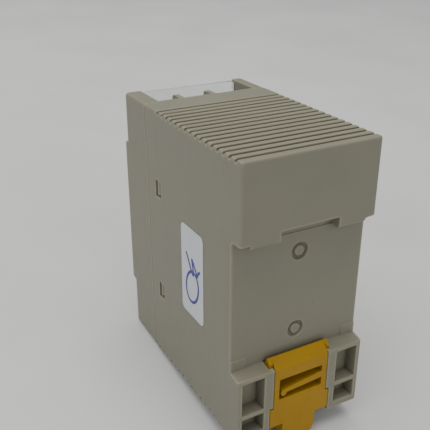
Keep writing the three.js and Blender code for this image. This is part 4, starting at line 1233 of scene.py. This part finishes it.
def terminal_screw():
    """Screw with a domed combination head and a threaded shank, for the upper middle terminal."""
    low, high = span("upper_screw_2")
    z = UPPER.rise(SCREW_RISE)
    under = low.y + 1.9
    head, shank, thread_root, thread_pitch, slot = high.x, 1.6, 1.32, 0.6, 0.42
    profile = [(0, low.y), (head - 0.9, low.y + 0.05), *[
        (head - 0.5 + b, low.y + 0.55 - a) for a, b in arc(0, 0, 0.5, 0, 90, 3)
    ], (head, under - 0.2), (head - 0.2, under), (shank, under)]
    ridge = under + 0.4
    while ridge < high.y - 0.8:
        profile += [(thread_root, ridge), (shank, ridge + 0.3)]
        ridge += thread_pitch
    profile += [(1.2, high.y - 0.1), (0.9, high.y), (0, high.y)]
    screw = turned((0, z), profile)
    carve(
        screw,
        block(-head - PAST, head + PAST, low.y - PAST, low.y + 0.8, z - slot, z + slot),
        block(-slot, slot, low.y - PAST, low.y + 0.95, z - 2.1, z + 2.1),
    )
    return soften(screw, 0.05, 1)


def terminal_clamp():
    """Square clamp washer with clipped corners and gripping ridges, for the upper middle terminal."""
    low, high = span("upper_clamp_2")
    z = (low.z + high.z) / 2
    half = (high.x - low.x) / 2
    plate = slab("y", rounded(-half, half, z - half, z + half, 0.8, 2), low.y, high.y - 0.12)
    ridges = [
        block(x - 0.22, x + 0.22, low.y + 0.1, high.y, z - half + 0.4, z + half - 0.4)
        for x in (-2.8, -2.15, 2.15, 2.8)
    ]
    fuse(plate, *ridges)
    carve(plate, rod("y", (0, z), 1.75, low.y - PAST, high.y + PAST, 32))
    return soften(plate, 0.06, 1)


def eased(node, radius=0.1, segments=2):
    """A copy of a CAD node with its corners merged and its sharp edges broken."""
    clear_selection()
    twin = bpy.data.objects.new(node + "_eased", frame["nodes"][node].data.copy())
    bpy.context.scene.collection.objects.link(twin)
    twin.data.transform(FROM_ROW)
    return soften(twin, radius, segments)


def place_terminals():
    """Six screws and clamps copied from one of each, with their contacts and blocks."""
    screw, clamp = terminal_screw(), terminal_clamp()
    for zone in ZONES:
        for i, x in enumerate(TERMINAL_PLACES, 1):
            z = zone.rise(SCREW_RISE)
            shift = (x, 0, z - UPPER.rise(SCREW_RISE))
            turn = (i * 37 + (0 if zone is UPPER else 61)) % 180
            one = copied(screw, shift)
            hub = Matrix.Translation((x, 0, z))
            one.data.transform(hub @ Matrix.Rotation(math.radians(turn), 4, "Y") @ hub.inverted())
            node = f"{zone.name}_screw_{i}"
            settle(one, node + "_head_and_thread", node, "plated", PLATED, node)
            node = f"{zone.name}_clamp_{i}"
            settle(copied(clamp, shift), node + "_plate", node, "plated", PLATED, node)
            node = f"{zone.name}_contact_{i}"
            settle(eased(node, 0.08), node + "_strip", "case", "plated", PLATED, node)
        node = f"{zone.name}_terminal_block"
        settle(eased(node, 0.15), node + "_body", "case", "block", BLACK, node)
    bpy.data.objects.remove(screw)
    bpy.data.objects.remove(clamp)


# CAD node: slot and finish
INSIDE = {
    "main_board": ("board", BOARD), "indicator_board": ("board", BOARD), "link_header": ("moulding", EPOXY),
    "power_lamp": ("lamp", LENS), "adjuster_body": ("adjuster", BLUE), "adjuster_rotor": ("ceramic", CREAM),
    "transformer_core_front": ("ferrite", FERRITE), "transformer_core_rear": ("ferrite", FERRITE),
    "transformer_bobbin": ("moulding", EPOXY), "transformer_winding": ("tape", TAPE),
    "input_capacitor": ("sleeve", SLEEVE), "output_capacitor_1": ("sleeve", SLEEVE),
    "output_capacitor_2": ("sleeve", SLEEVE), "switch_heatsink": ("heatsink", ALUMINIUM),
    "switch_transistor": ("moulding", EPOXY), "switch_screw": ("plated", PLATED),
    "diode_heatsink": ("heatsink", ALUMINIUM), "output_diode": ("moulding", EPOXY),
    "diode_screw": ("plated", PLATED), "choke_core": ("ferrite", FERRITE),
    "choke_winding_1": ("copper", COPPER), "choke_winding_2": ("copper", COPPER),
    "film_capacitor": ("film_box", FILM_BOX), "bridge_rectifier": ("moulding", EPOXY),
    "fuse": ("ceramic", CERAMIC), "thermistor": ("thermistor", DISC), "output_inductor": ("ferrite", FERRITE),
    "optocoupler": ("moulding", EPOXY), "control_chip": ("moulding", EPOXY),
    "insulation_sheet": ("insulation", FILM),
}


def place_inside():
    """The boards and what stands on them, from their CAD nodes."""
    owner = {node: body for body, nodes in frame["record"]["behaviour"]["bodies"].items() for node in nodes}
    for node, (slot, finish) in INSIDE.items():
        settle(eased(node, 0.08, 1), node + "_part", owner[node], slot, finish, node)


camera()
studio()
floor()
settle(rear_case(), "rear_case_shell", "case", "case", SHELL, "rear_case")
settle(front_cover(), "front_cover_shell", "case", "case", SHELL, "front_cover")
settle(rail_clip(), "rail_clip_moulding", "rail_clip", "clip", YELLOW, "rail_clip")
settle(side_sticker(), "side_sticker_sheet", "case", "paper", PAPER, "side_sticker")
settle(pen_marks(), "side_sticker_pen_marks", "case", "paper", PEN)
settle(front_label(), "front_label_sheet", "case", "label", LABEL, "front_label")
settle(label_lines(), "front_label_lines", "case", "label", LINES)
settle(label_stripe(), "front_label_stripe", "case", "label", STRIPE)
settle(dial_ticks(), "trimmer_ticks", "case", "case", SHELL)
for zone in ZONES:
    node = zone.name + "_flap"
    settle(terminal_flap(zone), node + "_plate", node, "clear", CLEAR, node)
place_terminals()
place_inside()
